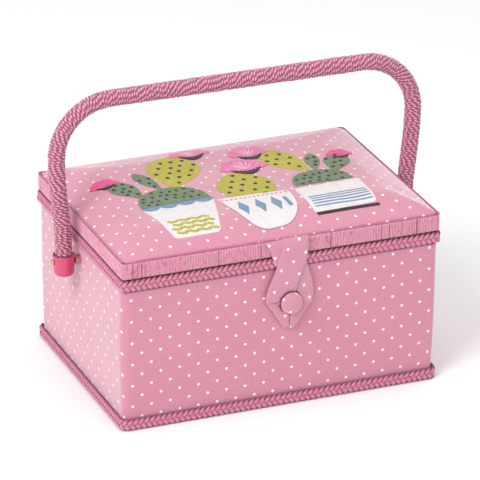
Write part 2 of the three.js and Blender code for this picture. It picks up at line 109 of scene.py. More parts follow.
def soft_light(name, place, size, power, warmth=(1, 1, 1)):
    """A square studio soft box that faces the box."""
    lamp = bpy.data.lights.new(name, "AREA")
    lamp.size = size
    lamp.energy = power
    lamp.color = warmth
    holder = bpy.data.objects.new(name, lamp)
    bpy.context.scene.collection.objects.link(holder)
    holder.location = place
    holder.rotation_euler = (Vector((0, 0, 0.09)) - Vector(place)).to_track_quat("-Z", "Y").to_euler()


def set_light():
    """Even white surroundings, with the main light high on the left."""
    world = bpy.data.worlds.new("studio")
    world.use_nodes = True
    world.node_tree.nodes["Background"].inputs["Color"].default_value = (1, 1, 1, 1)
    world.node_tree.nodes["Background"].inputs["Strength"].default_value = 0.6
    bpy.context.scene.world = world
    bpy.context.scene.view_settings.view_transform = "Standard"
    soft_light("main_light", (-1.5, -0.9, 1.7), 1.1, 34)
    soft_light("front_light", (0.9, -2.0, 0.9), 1.4, 7)
    soft_light("top_light", (0.2, 0.3, 2.2), 1.2, 12)


# ---------------------------------------------------------------- materials

def linear(code):
    """A colour written as #RRGGBB, as linear light."""
    channels = [int(code[i:i + 2], 16) / 255 for i in (1, 3, 5)]
    return tuple(c / 12.92 if c <= 0.04045 else ((c + 0.055) / 1.055) ** 2.4 for c in channels) + (1.0,)


def add(tree, kind, inputs=None, **settings):
    """Adds one node with its settings; an input is either another node's output or a value."""
    node = tree.nodes.new("ShaderNode" + kind)
    for key, value in settings.items():
        setattr(node, key, value)
    for key, value in (inputs or {}).items():
        if isinstance(value, bpy.types.NodeSocket):
            tree.links.new(value, node.inputs[key])
        else:
            node.inputs[key].default_value = value
    return node


def begin(name):
    """An empty material."""
    made = bpy.data.materials.new(name)
    made.use_nodes = True
    made.node_tree.nodes.clear()
    return made, made.node_tree


def end(tree, colour, height, lift, inputs):
    """Closes a material: its colour, how far its surface stands up in metres, and the shader's settings."""
    bump = add(tree, "Bump", {"Height": height, "Strength": 1.0, "Distance": lift})
    shader = add(tree, "BsdfPrincipled", {"Base Color": colour, "Normal": bump.outputs["Normal"]} | inputs)
    add(tree, "OutputMaterial", {"Surface": shader.outputs["BSDF"]})


def blended(tree, share, first, second):
    """One colour over another, by share."""
    return add(tree, "Mix", {0: share, 6: first, 7: second}, data_type="RGBA").outputs[2]


def sum_of(tree, first, second, weight):
    """first plus weight times second."""
    return add(tree, "Math", {0: second, 1: weight, 2: first}, operation="MULTIPLY_ADD").outputs[0]


def cloudy(tree, place, period, detail=2.0):
    """Soft random variation with a period in millimetres."""
    return add(tree, "TexNoise", {"Vector": place, "Scale": 1000 / period, "Detail": detail}).outputs[0]


def plain_weave(tree, place, pitch):
    """The height of an over-and-under weave, with pitch millimetres from thread to thread."""
    scaled = add(tree, "VectorMath", {0: place, 1: (math.pi * 1000 / pitch,) * 3}, operation="MULTIPLY")
    waves = add(tree, "VectorMath", {0: scaled.outputs[0]}, operation="SINE")
    parts = add(tree, "SeparateXYZ", {0: waves.outputs[0]})
    return add(tree, "Math", {0: parts.outputs[0], 1: parts.outputs[1]}, operation="MULTIPLY").outputs[0]


def dots(tree, place, across, along, radius):
    """Printed dots on a centred rectangular lattice, sizes in millimetres."""
    mm = add(tree, "VectorMath", {0: place, 1: (1000, 1000, 0)}, operation="MULTIPLY").outputs[0]
    moved = add(tree, "VectorMath", {0: mm, 1: (across / 2, along / 2, 0)}, operation="ADD").outputs[0]
    far = []
    for lattice in (mm, moved):
        cell = add(tree, "VectorMath", {0: lattice, 1: (across / 2, along / 2, 1),
                                        2: (-across / 2, -along / 2, -1)}, operation="WRAP")
        far.append(add(tree, "VectorMath", {0: cell.outputs[0]}, operation="LENGTH").outputs["Value"])
    near = add(tree, "Math", {0: far[0], 1: far[1]}, operation="MINIMUM").outputs[0]
    return add(tree, "MapRange", {"Value": near, "From Min": radius + 0.22, "From Max": radius - 0.22},
               interpolation_type="SMOOTHSTEP").outputs[0]


DOTS_ACROSS = 15.3
DOTS_ALONG = 17.8
# A quilting cotton has a thread every 0.3 mm. It is drawn at 1.1 mm so that the weave shows.
COTTON_PITCH = 1.1


def dotted_cotton(name, ground, faded):
    """Printed quilting cotton: matt, faintly woven and mottled, with a soft fuzz at glancing angles."""
    made, tree = begin(name)
    place = add(tree, "UVMap", uv_map="cloth").outputs[0]
    weave = plain_weave(tree, place, COTTON_PITCH)
    slub = cloudy(tree, place, 2.4, 3.0)
    mottle = cloudy(tree, place, 38)
    printed = dots(tree, place, DOTS_ACROSS, DOTS_ALONG, 1.12)
    uneven = add(tree, "MapRange", {"Value": slub, "From Min": 0.3, "From Max": 0.7}).outputs[0]
    mixed = add(tree, "Math", {0: uneven, 1: mottle}, operation="MULTIPLY").outputs[0]
    cloth = blended(tree, mixed, linear(ground), linear(faded))
    colour = blended(tree, printed, cloth, linear("#F4EDEE"))
    height = sum_of(tree, slub, weave, 0.5)
    end(tree, colour, height, 0.00012, {"Roughness": 0.86, "Sheen Weight": 0.9, "Sheen Roughness": 0.5,
                                        "Sheen Tint": (1, 0.95, 0.96, 1), "Specular IOR Level": 0.25})
    return made


def thread_work(name, deep, middle, bright, pitch, stretch, sheen):
    """Spun cord or thread: a painted highlight on its crowns and painted shade in its grooves, both read from
    the relief attribute, with painted shade in random gaps and fine twist lines.
    """
    made, tree = begin(name)
    place = add(tree, "TexCoord").outputs["Object"]
    relief = add(tree, "Attribute", attribute_name="relief").outputs["Fac"]
    longer = add(tree, "VectorMath", {0: place, 1: stretch}, operation="MULTIPLY").outputs[0]
    fibre = cloudy(tree, longer, pitch, 2.0)
    # low and high read the relief attribute: deep is painted shade in the grooves, bright a painted highlight
    # on the crowns.
    low = add(tree, "MapRange", {"Value": relief, "From Min": 0.0, "From Max": 0.55},
              interpolation_type="SMOOTHSTEP").outputs[0]
    high = add(tree, "MapRange", {"Value": relief, "From Min": 0.5, "From Max": 1.0},
               interpolation_type="SMOOTHSTEP").outputs[0]
    body = blended(tree, low, linear(deep), linear(middle))
    lit = blended(tree, high, body, linear(bright))
    faint = add(tree, "MapRange", {"Value": fibre, "From Min": 0.3, "From Max": 0.75, "To Max": 0.3})
    faint = faint.outputs[0]
    soft = blended(tree, faint, lit, linear(middle))
    # Painted shade: random patches in the groove colour stand in for shadowed gaps between the fibres.
    gaps = cloudy(tree, longer, 1.5, 3.0)
    gap_shade = add(tree, "MapRange", {"Value": gaps, "From Min": 0.56, "From Max": 0.7, "To Max": 0.5}).outputs[0]
    colour = blended(tree, gap_shade, soft, linear(deep))
    end(tree, colour, fibre, 0.00025, {"Roughness": 0.78, "Sheen Weight": sheen, "Sheen Roughness": 0.45,
                                       "Sheen Tint": (1, 0.9, 0.93, 1), "Specular IOR Level": 0.25})
    return made


def woven_cloth(name, ground, shade, pitch, roughness=0.88, sheen=0.25):
    """Plain dyed cloth: an even weave with a slightly streaky dye, no shine."""
    made, tree = begin(name)
    place = add(tree, "TexCoord").outputs["Object"]
    threads = plain_weave(tree, place, pitch)
    streak = cloudy(tree, place, 5.0, 4.0)
    share = add(tree, "MapRange", {"Value": streak, "From Min": 0.35, "From Max": 0.7}).outputs[0]
    colour = blended(tree, share, linear(ground), linear(shade))
    height = sum_of(tree, streak, threads, 0.6)
    end(tree, colour, height, 0.00012, {"Roughness": roughness, "Sheen Weight": sheen,
                                        "Sheen Roughness": 0.45, "Specular IOR Level": 0.2})
    return made


def fibreboard(name):
    """Pressed fibreboard, sawn: dull brown, flecked with short light fibres."""
    made, tree = begin(name)
    place = add(tree, "TexCoord").outputs["Object"]
    flecks = cloudy(tree, place, 2.2, 6.0)
    share = add(tree, "MapRange", {"Value": flecks, "From Min": 0.4, "From Max": 0.66}).outputs[0]
    colour = blended(tree, share, linear("#8F6C49"), linear("#C2A079"))
    end(tree, colour, flecks, 0.0002, {"Roughness": 0.82, "Specular IOR Level": 0.3})
    return made


def moulded_plastic(name, ground, shade, roughness, clear=0.0, coat=0.0):
    """Injection-moulded plastic: smooth, with a faint ripple from the mould and a sharp highlight."""
    made, tree = begin(name)
    place = add(tree, "TexCoord").outputs["Object"]
    ripple = cloudy(tree, place, 9.0, 1.0)
    grain = cloudy(tree, place, 1.4, 2.0)
    colour = blended(tree, ripple, linear(ground), linear(shade))
    polish = add(tree, "MapRange", {"Value": grain, "To Min": roughness * 0.75,
                                    "To Max": roughness * 1.35}).outputs[0]
    height = sum_of(tree, ripple, grain, 0.1)
    end(tree, colour, height, 0.00015, {"Roughness": polish, "IOR": 1.5, "Coat Weight": coat,
                                        "Coat Roughness": 0.06, "Transmission Weight": clear})
    return made


def worked_metal(name, ground, tarnish, roughness, stretch=(1, 1, 1)):
    """Pressed or turned metal, tumbled bright: fine drag lines and a few dull patches."""
    made, tree = begin(name)
    place = add(tree, "TexCoord").outputs["Object"]
    drawn = add(tree, "VectorMath", {0: place, 1: stretch}, operation="MULTIPLY").outputs[0]
    lines = cloudy(tree, drawn, 0.8, 3.0)
    patches = cloudy(tree, place, 4.0, 2.0)
    share = add(tree, "MapRange", {"Value": patches, "From Min": 0.45, "From Max": 0.75}).outputs[0]
    colour = blended(tree, share, linear(ground), linear(tarnish))
    dull = add(tree, "MapRange", {"Value": lines, "To Min": roughness * 0.7, "To Max": roughness * 1.5})
    dull = dull.outputs[0]
    end(tree, colour, lines, 0.00004, {"Roughness": dull, "Metallic": 1.0})
    return made


DOTTED = dotted_cotton("dotted_quilting_cotton", "#C97F95", "#D391A3")
TAPE = dotted_cotton("dotted_cotton_tape", "#C88599", "#CF93A4")
# Cord colours: deep is painted groove shade, middle the cord's own colour, bright a painted crown highlight.
BAND = thread_work("gathered_cotton_thread", "#8A3553", "#D48DA3", "#E6AEBC", 0.9, (1, 1, 0.35), 0.6)
PLAIT = thread_work("plaited_cotton_cord", "#5A1833", "#C87490", "#E9A5B8", 0.9, (1, 1, 1), 0.5)
WOUND = thread_work("wound_paper_soft_cord", "#5C1E3E", "#C27790", "#E6AAB9", 0.9, (1, 1, 1), 0.5)
LINING = woven_cloth("pale_pink_lining_cotton", "#F0D0DA", "#F7E2E8", 1.1)
# A real seam; the piping's darker pink is painted shadow along the seam between the lid cover and the band.
SEAM = woven_cloth("bias_binding_cotton", "#AE5476", "#BC6A89", 1.1)
BOARD = fibreboard("sawn_fibreboard")
CAP = moulded_plastic("moulded_abs_hot_pink", "#C93664", "#D14A74", 0.16, 0.0, 0.5)
CORE = moulded_plastic("extruded_polypropylene_rod", "#D9CFC0", "#E3DACD", 0.45)
TRAY = moulded_plastic("moulded_tray_polystyrene", "#F0C4D1", "#F6D6DF", 0.22, 0.25, 0.2)
BRASS = worked_metal("tumbled_brass", "#E0BE7C", "#B8935A", 0.24)
# Brass spacer: the pink tint in both its colours is a painted reflection of the surrounding pink cloth.
PINK_METAL = worked_metal("lacquered_spacer_brass", "#D9A79A", "#B77F78", 0.3)
STEEL = worked_metal("bright_zinc_plated_steel", "#C9CBCE", "#A2A5A9", 0.28)


def dress(finish, *names):
    """Gives CAD solids that stay as they are their real finish."""
    for name in names:
        for place in nodes[name].material_slots:
            place.material = finish


# ---------------------------------------------------------------- ways of making a piece

def piece(name, points, faces, body, slot, finish, cloth=None, relief=None, crease=None):
    """One object from points in millimetres, riding on a body, or left free where it spans two."""
    mesh = bpy.data.meshes.new(name)
    mesh.from_pydata((np.asarray(points, float) * MM).tolist(), [], faces)
    if cloth is not None:
        mesh.uv_layers.new(name="cloth").data.foreach_set("uv", (np.asarray(cloth, float) * MM).ravel())
    if relief is not None:
        mesh.attributes.new("relief", "FLOAT", "POINT").data.foreach_set("value", np.asarray(relief).ravel())
    work = bmesh.new()
    work.from_mesh(mesh)
    bmesh.ops.recalc_face_normals(work, faces=work.faces[:])
    work.to_mesh(mesh)
    work.free()
    mesh.polygons.foreach_set("use_smooth", np.ones(len(mesh.polygons), bool))
    if crease:
        mesh.set_sharp_from_angle(angle=math.radians(crease))
    made = bpy.data.objects.new(name, mesh)
    bpy.context.scene.collection.objects.link(made)
    mesh.materials.append(finish)
    if body:
        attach(made, body)
    return made


def four(index):
    """The four corners of every cell of a grid of numbers."""
    return np.stack([index[:-1, :-1], index[:-1, 1:], index[1:, 1:], index[1:, :-1]], -1).reshape(-1, 4)


def skin(name, grids, body, slot, finish, cloths=None, reliefs=None, ring=True, tube=True, lids=False,
         crease=None):
    """A skin over grids of points. Rows run along the piece and columns go round it. ring joins the last
    row to the first, tube the last column to the first, and lids closes the first and last column."""
    faces, corners, start = [], [], 0
    for number, grid in enumerate(grids):
        rows, columns = grid.shape[:2]
        index = start + np.arange(rows * columns).reshape(rows, columns)
        start += rows * columns
        if ring:
            index = np.vstack([index, index[:1]])
        if tube:
            index = np.hstack([index, index[:, :1]])
        own = np.arange(index.size).reshape(index.shape)
        loops = list(four(index))
        places = list(four(own))
        if tube and not ring:
            loops += [index[0, :-1][::-1], index[-1, :-1]]
            places += [own[0, :-1][::-1], own[-1, :-1]]
        if lids:
            loops += [index[:-1, 0], index[:-1, -1][::-1]]
            places += [own[:-1, 0], own[:-1, -1][::-1]]
        faces += [loop.tolist() for loop in loops]
        if cloths is not None:
            corners.append(cloths[number].reshape(-1, 2)[np.concatenate(places)])
    points = np.concatenate([grid.reshape(-1, 3) for grid in grids])
    relief = None if reliefs is None else np.concatenate([r.ravel() for r in reliefs])
    cloth = None if cloths is None else np.concatenate(corners)
    return piece(name, points, faces, body, slot, finish, cloth, relief, crease)


def perimeter(size):
    """The way round a rounded rectangle (width, depth, corner)."""
    width, depth, corner = size
    return 2 * (width + depth) - (8 - TURN) * corner


def walk(size, s):
    """Places round a rounded rectangle, s from the middle of its front and on to the right, and the
    outward direction at each."""
    width, depth, corner = size
    x, y, arc = width / 2 - corner, depth / 2 - corner, corner * TURN / 4
    runs = np.array([x, arc, 2 * y, arc, 2 * x, arc, 2 * y, arc, x])
    ends = np.cumsum(runs)
    s = np.mod(s, ends[-1])
    run = np.minimum(np.searchsorted(ends, s, side="right"), 8)
    into = s - (ends - runs)[run]
    curved = run % 2 == 1
    angle = (-1 + run // 2) * TURN / 4 + np.where(curved, into / max(corner, 1e-6), 0)
    pivots = np.array([(0, -y), (x, -y), (x, -y), (x, y), (x, y), (-x, y), (-x, y), (-x, -y), (-x, -y)])
    outward = np.stack([np.cos(angle), np.sin(angle)], -1)
    onward = np.stack([-np.sin(angle), np.cos(angle)], -1)
    middle = pivots[run] + onward * np.where(curved, 0, into)[:, None]
    return middle + outward * corner, outward


def length_along(line):
    """How far each point of a line is from its start."""
    steps = np.linalg.norm(np.diff(line, axis=0), axis=1)
    return np.concatenate([[0], np.cumsum(steps)])


def rounded(points, radius, steps=5, closed=False):
    """A line with its corners rounded."""
    points = [np.array(p, float) for p in points]
    made = []
    for i, corner in enumerate(points):
        before, after = points[i - 1], points[(i + 1) % len(points)]
        if not closed and i in (0, len(points) - 1):
            made.append(corner)
            continue
        back, on = before - corner, after - corner
        reach = min(radius, np.linalg.norm(back) / 2.01, np.linalg.norm(on) / 2.01)
        first = corner + back / np.linalg.norm(back) * reach
        last = corner + on / np.linalg.norm(on) * reach
        for t in np.linspace(0, 1, steps):
            made.append((1 - t) ** 2 * first + 2 * t * (1 - t) * corner + t * t * last)
    return np.array(made)


def carried(size, profile, steps, centre=(0, 0)):
    """A profile of (outward, height) points carried round a rounded rectangle."""
    s = np.arange(steps) * perimeter(size) / steps
    place, outward = walk(size, s)
    flat = (place + centre)[:, None] + outward[:, None] * profile[None, :, :1]
    high = np.broadcast_to(profile[None, :, 1:], flat.shape[:2] + (1,))
    return np.concatenate([flat, high], -1)


def turned(name, profile, foot, axis, body, slot, finish, closed=False, steps=40, cloth=None, crease=None):
    """A piece of revolution: a profile of (radius, along) points turned round an axis from its foot."""
    axis = np.array(axis, float)
    side = np.array((0, 0, 1.0)) if abs(axis[2]) < 0.5 else np.array((1.0, 0, 0))
    other = np.cross(axis, side)
    angles = np.arange(steps) * TURN / steps
    spokes = np.cos(angles)[:, None] * side + np.sin(angles)[:, None] * other
    grid = np.array(foot) + spokes[:, None] * profile[None, :, :1] + axis * profile[None, :, 1:]
    cloths = None if cloth is None else [cloth(np.vstack([grid, grid[:1]]))]
    return skin(name, [grid], body, slot, finish, cloths, tube=closed, lids=not closed, crease=crease)


def softened(node, width, finish):
    """A hard piece with the CAD solid's own shape, its sharp edges broken as a maker would."""
    body = nodes[node].parent.name.split(":")[1]
    mesh = nodes[node].data.copy()
    work = bmesh.new()
    work.from_mesh(mesh)
    bmesh.ops.remove_doubles(work, verts=work.verts[:], dist=1e-6)
    bmesh.ops.dissolve_limit(work, angle_limit=0.02, verts=work.verts[:], edges=work.edges[:])
    sharp = [e for e in work.edges if len(e.link_faces) == 2 and e.calc_face_angle(0) > math.radians(35)]
    bmesh.ops.bevel(work, geom=sharp, offset=width * MM, segments=2, profile=0.5, affect="EDGES",
                    clamp_overlap=True)
    bmesh.ops.recalc_face_normals(work, faces=work.faces[:])
    work.to_mesh(mesh)
    work.free()
    mesh.polygons.foreach_set("use_smooth", np.ones(len(mesh.polygons), bool))
    mesh.set_sharp_from_angle(angle=math.radians(40))
    made = bpy.data.objects.new(node + "_finished", mesh)
    bpy.context.scene.collection.objects.link(made)
    mesh.materials.clear()
    mesh.materials.append(finish)
    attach(made, body)
    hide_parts(node)
    return made


def inside(outline, points):
    """Which points lie in a closed outline."""
    x, y = points[:, 0][:, None], points[:, 1][:, None]
    a, b = outline, np.roll(outline, -1, axis=0)
    crosses = (a[:, 1] > y) != (b[:, 1] > y)
    with np.errstate(divide="ignore", invalid="ignore"):
        at = (b[:, 0] - a[:, 0]) * (y - a[:, 1]) / (b[:, 1] - a[:, 1]) + a[:, 0]
    return (crosses & (x < at)).sum(1) % 2 == 1


def from_edge(outline, points):
    """How far each point is from the outline."""
    a, b = outline, np.roll(outline, -1, axis=0)
    run = b - a
    long = np.maximum((run * run).sum(1), 1e-9)
    share = np.clip(((points[:, None] - a) * run).sum(-1) / long, 0, 1)
    return np.linalg.norm(points[:, None] - a - share[..., None] * run, axis=-1).min(1)


def resampled(outline, spacing):
    """The same closed outline with points no more than spacing apart."""
    made = []
    for a, b in zip(outline, np.roll(outline, -1, axis=0)):
        count = max(1, math.ceil(np.linalg.norm(b - a) / spacing))
        made += [a + (b - a) * k / count for k in range(count)]
    return np.array(made)


def cut_cloth(outline, spacing):
    """A flat cut piece: its points, its triangles, and how far in from its edge each point is."""
    edge = resampled(np.array(outline, float), spacing)
    low, high = edge.min(0), edge.max(0)
    rows = np.arange(low[1], high[1], spacing * 0.87)
    columns = np.arange(low[0], high[0], spacing)
    x, y = np.meshgrid(columns, rows)
    x = x + (np.arange(len(rows)) % 2)[:, None] * spacing / 2
    within = np.stack([x.ravel(), y.ravel()], -1)
    within = within[inside(edge, within)]
    within = within[from_edge(edge, within) > spacing * 0.45] if len(within) else within
    points = np.concatenate([edge, within]) if len(within) else edge
    border = [(i, (i + 1) % len(edge)) for i in range(len(edge))]
    made = delaunay_2d_cdt([Vector(p) for p in points], border, [], 1, 1e-6)
    points = np.array([tuple(p) for p in made[0]])
    return points, [list(f) for f in made[2]], from_edge(edge, points)


def cloth_plate(outline, spacing, lay, thickness, edge=0.0):
    """A flat cut piece with a rounded or square edge. lay(points, up) puts its points in place; up is the
    height over the middle of the cloth."""
    points, faces, deep = cut_cloth(outline, spacing)
    round_off = np.sqrt(1 - (1 - np.clip(deep / edge, 0, 1)) ** 2) if edge else 1 + 0 * deep
    rise = (0.35 + 0.65 * round_off) * thickness / 2
    count = len(points)
    top = np.array(faces)
    sides = np.concatenate([top[:, [0, 1]], top[:, [1, 2]], top[:, [2, 0]]])
    seen = {tuple(pair) for pair in sides.tolist()}
    rim = np.array([pair for pair in seen if pair[::-1] not in seen])
    walls = np.stack([rim[:, 0], rim[:, 1], rim[:, 1] + count, rim[:, 0] + count], 1)
    loops = top.tolist() + (top[:, ::-1] + count).tolist() + walls.tolist()
    cloth = np.concatenate([points, points])[np.concatenate([np.ravel(loop) for loop in loops])]
    return np.concatenate([lay(points, rise), lay(points, -rise)]), loops, cloth


def together(name, plates, body, slot, finish, crease=None):
    """Several plates as one object."""
    points, faces, cloth, start = [], [], [], 0
    for plate in plates:
        points.append(plate[0])
        faces += [[i + start for i in f] for f in plate[1]]
        cloth.append(plate[2])
        start += len(plate[0])
    points, cloth = np.concatenate(points), np.concatenate(cloth)
    return piece(name, points, faces, body, slot, finish, cloth, crease=crease)


def inflate(pad, held, pressure, cap):
    """Blows a padded cover up against its held edge with a short cloth simulation, applied to the mesh."""
    mesh = pad.data
    before = np.array([v.co for v in mesh.vertices])
    group = pad.vertex_groups.new(name="sewn_down")
    group.add([int(i) for i in np.flatnonzero(held)], 1.0, "REPLACE")
    cloth = pad.modifiers.new("cloth", "CLOTH")
    cloth.settings.quality = 6
    cloth.settings.use_pressure = True
    cloth.settings.uniform_pressure_force = pressure
    cloth.settings.vertex_group_mass = "sewn_down"
    cloth.settings.tension_stiffness = 15
    cloth.settings.compression_stiffness = 15
    cloth.settings.shear_stiffness = 5
    cloth.settings.effector_weights.gravity = 0
    scene = bpy.context.scene
    for step in range(1, 21):
        scene.frame_set(step)
    blown = pad.evaluated_get(bpy.context.evaluated_depsgraph_get())
    after = np.array([v.co for v in blown.data.vertices])
    pad.modifiers.remove(cloth)
    scene.frame_set(1)
    move = after - before
    far = np.linalg.norm(move, axis=1, keepdims=True)
    move *= np.minimum(1, cap * MM / np.maximum(far, 1e-9))
    mesh.vertices.foreach_set("co", (before + move).ravel())
    mesh.update()


def smoother(made):
    """One round of subdivision, applied."""
    made.modifiers.new("subdivision", "SUBSURF").levels = 1
    fine = bpy.data.meshes.new_from_object(made.evaluated_get(bpy.context.evaluated_depsgraph_get()))
    made.modifiers.clear()
    made.data = fine


# ---------------------------------------------------------------- the body's cloth

body_high = span("body_cover")[1]
BODY = (body_high[0] * 2 + 2.4, body_high[1] * 2 + 0.8, 6.2)
BODY_FORWARD = 0.4
WALL_TOP = 114.95
LID_EDGE = (261.6, 188.2, 3.6)


def body_cloth():
    """Cotton glued round the wall boards, with its top edge folded over them."""
    outside = [(-1.7 * (1 - z / 114), z) for z in np.linspace(1.1, 113.2, 15)]
    fold = rounded([(0, 113.2), (0, WALL_TOP), (-8.3, WALL_TOP), (-8.3, 113.9)], 1.1, 4)[1:]
    behind = [(-7.9, 113.9), (-7.9, 114.66), (-2.4, 114.66), (-2.6, 60), (-1.9, 1.1)]
    profile = np.array(outside + [tuple(p) for p in fold] + behind)
    steps = 520
    grid = carried(BODY, profile, steps)
    s = np.arange(steps + 1) * perimeter(BODY) / steps
    round_way = np.where(s > perimeter(BODY) / 2, s - perimeter(BODY), s)
    out, _ = walk(BODY, s)
    shown = np.arange(len(profile)) < 15
    belly = np.sin(profile[None, :, 1] / 114 * math.pi)
    sway = 0.16 * np.sin(s[:-1, None] / 17 + profile[None, :, 1] / 31) * belly
    _, outward = walk(BODY, s[:-1])
    swell = 0.9 * belly * (1 - np.clip(outward[:, 1:], 0, 1))
    grid[..., :2] += (outward[:, None] * (sway + swell)[..., None]) * shown[None, :, None]
    grid[..., 1] -= BODY_FORWARD
    rows = np.concatenate([[0], np.cumsum(np.linalg.norm(np.diff(profile, axis=0), axis=1)), [0]])
    rise = np.where(np.arange(len(rows)) < 15, np.append(profile[:, 1], 0), 113.2 + rows - rows[14])
    x, arc = BODY[0] / 2 - BODY[2], BODY[2] * TURN / 4
    past = np.clip((-round_way - x) / (arc + 24), 0, 1)
    past = past * past * (3 - 2 * past)
    tilt = 0.0175 * (1 - past)
    u = round_way - 1.47 + 6.1 * past
    front = (rise[None] - 3.44) - tilt[:, None] * out[:, :1]
    side = (rise[None] - 0.69) * DOTS_ALONG / 18.4 + 0.0087 * out[:, 1:] + 0 * past[:, None]
    v = front * (1 - past[:, None]) + side * past[:, None]
    across = np.broadcast_to(u[:, None], v.shape) + tilt[:, None] * rise[None]
    cloth = np.stack([across, v], -1)
    made = skin("body_cloth", [grid], "base", "dotted_cotton", DOTTED, [cloth])
    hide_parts("body_cover")


# ---------------------------------------------------------------- plaits and gathered band

def plait_strands(size, centre, seat, first, last, closed, samples=15, columns=20):
    """Three flat strands that cross over and under each other, every 4.5 mm, from s=first to s=last."""
    length = last - first
    turns = round(length / 13.5)
    rows = turns * samples
    s = first + np.arange(rows + (0 if closed else 1)) * length / rows
    grids, reliefs = [], []
    for strand in range(3):
        phase = TURN * turns * (s - first) / length + strand * TURN / 3
        rate = TURN * turns / length
        place, outward = walk(size, s)
        across, depth = 3.05 * np.sin(phase), 0.92 * np.sin(2 * phase)
        line = np.concatenate([place + outward * (seat + depth)[:, None], (centre + across)[:, None]], 1)
        out = np.concatenate([outward, np.zeros((len(s), 1))], 1)
        onward = np.stack([-outward[:, 1], outward[:, 0], np.zeros(len(s))], 1)
        along = onward + np.array((0, 0, 1.0)) * (3.05 * rate * np.cos(phase))[:, None]
        along += out * (1.84 * rate * np.cos(2 * phase))[:, None]
        along /= np.linalg.norm(along, axis=1, keepdims=True)
        wide = np.cross(out, along)
        wide /= np.linalg.norm(wide, axis=1, keepdims=True)
        thick = np.cross(along, wide)
        angle = (np.arange(columns) + 0.5) * TURN / columns
        a, b = np.cos(angle), np.sin(angle)
        lobes = 1.02 * b * (0.55 + 0.45 * np.abs(np.cos(1.5 * math.pi * a)))
        grid = line[:, None] + wide[:, None] * (1.72 * a)[None, :, None]
        grid = grid + thick[:, None] * lobes[None, :, None]
        # relief is painted light: a painted highlight where a strand lies on top, painted shade where it
        # passes under, in the grooves between its yarns and at its edges.
        up = (depth[:, None] + lobes[None] * np.sign((thick * out).sum(1))[:, None]) / 1.94
        groove = 1 - 0.75 * (1 - np.abs(np.cos(1.5 * math.pi * a)))[None] - 0.5 * np.abs(a)[None] ** 6
        grids.append(grid)
        reliefs.append(np.clip(0.5 + 0.5 * up, 0, 1) ** 1.4 * np.broadcast_to(groove, up.shape))
    return grids, reliefs


def plaits():
    """The cord plaits glued round the foot and round the lid's lower edge."""
    low, high = span("base_braid")
    foot = (high[0] * 2 + 2.2, high[1] * 2 + 1.4, 6.5)
    grids, reliefs = plait_strands(foot, 4.95, -1.25, 0, perimeter(foot), True)
    made = skin("foot_plait", grids, "base", "plaited_cord", PLAIT, reliefs=reliefs)
    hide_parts("base_braid")
    half = perimeter(LID_EDGE) / 2
    grids, reliefs = plait_strands(LID_EDGE, 120.35, -1.0, -half + 82.9, half - 82.9, False)
    made = skin("lid_plait", grids, "lid", "plaited_cord", PLAIT, reliefs=reliefs, ring=False)
    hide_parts("lid_braid")
    grids, reliefs = plait_strands(LID_EDGE, 120.35, -1.0, half - 56.9, half + 56.9, False)
    made = skin("lid_back_plait", grids, "lid", "plaited_cord", PLAIT, reliefs=reliefs, ring=False)
    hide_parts("lid_braid_back")


def gathered_band():
    """Thread gathered close into upright ribs 1.1 mm apart, with deeper tucks here and there. The relief
    attribute paints a highlight on the rib crowns and the top edge and paints shade in the tucks and near the
    seams.
    """
    ribs = 680
    steps = ribs * 5
    heights = np.array([125.75, 126.0, 127.0, 128.6, 130.4, 132.2, 134.0, 135.6, 136.9, 137.8, 138.5, 138.95])
    s = np.arange(steps) * perimeter(LID_EDGE) / steps
    rng = np.random.default_rng(11)
    lean = np.interp(np.arange(steps), np.arange(0, steps + 1, 25), rng.normal(0, 0.25, steps // 25 + 1))
    strength = np.repeat(rng.uniform(0.55, 1.0, ribs), 5)
    share = (heights - heights[0]) / (heights[-1] - heights[0])
    phase = TURN * (np.arange(steps)[:, None] / 5 + lean[:, None] * (share[None] - 0.5) * 2)
    rib = 0.5 + 0.5 * np.cos(phase + 0.5 * np.sin(phase / 7))
    tucks = np.zeros(steps)
    around = perimeter(LID_EDGE)
    bunch = [around - 117.5, around - 114.5, around - 111.5]
    for middle in bunch + list(rng.uniform(0, around, 30)):
        near = np.abs(np.mod(s - middle + around / 2, around) - around / 2)
        tucks = np.maximum(tucks, rng.uniform(0.4, 0.9) * np.exp(-(near / 0.55) ** 2))
    hold = np.sin(np.clip(share, 0.02, 1) ** 0.8 * math.pi * 0.93)[None] ** 0.35
    loose = (share[None] > 0.7) * (share[None] - 0.7)
    ruffle = np.sin(phase / 3 + 2 * np.sin(s / 9)[:, None]) * loose
    out = -1.0 + hold * (0.75 * rib * strength[:, None]) - 0.95 * tucks[:, None] * hold + ruffle
    out[:, 0] = -1.6
    out[:, -1] = -0.8
    place, outward = walk(LID_EDGE, s)
    plan = place[:, None] + outward[:, None] * out[..., None]
    face = np.concatenate([plan, np.broadcast_to(heights[None, :, None], plan.shape[:2] + (1,))], -1)
    behind = carried(LID_EDGE, np.array([(-2.2, 138.9), (-2.2, 125.8)]), steps)
    grid = np.concatenate([face, behind], 1)
    fuzz = rng.uniform(-0.16, 0.16, rib.shape)
    # Painted light in the relief attribute: a painted highlight on the rib crowns and along the top edge,
    # painted shade in the tucks and near the seams, with random fuzz.
    light = np.clip(0.34 + 0.62 * rib * strength[:, None] - 0.6 * tucks[:, None] + fuzz, 0, 1)
    light = light * np.clip(0.35 + hold, 0, 1) + 0.25 * (share[None] > 0.85)
    relief = np.concatenate([np.clip(light, 0, 1), np.zeros((steps, 2))], 1)
    made = skin("gathered_band", [grid], "lid", "gathered_band", BAND, reliefs=[relief])
    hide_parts("lid_band")


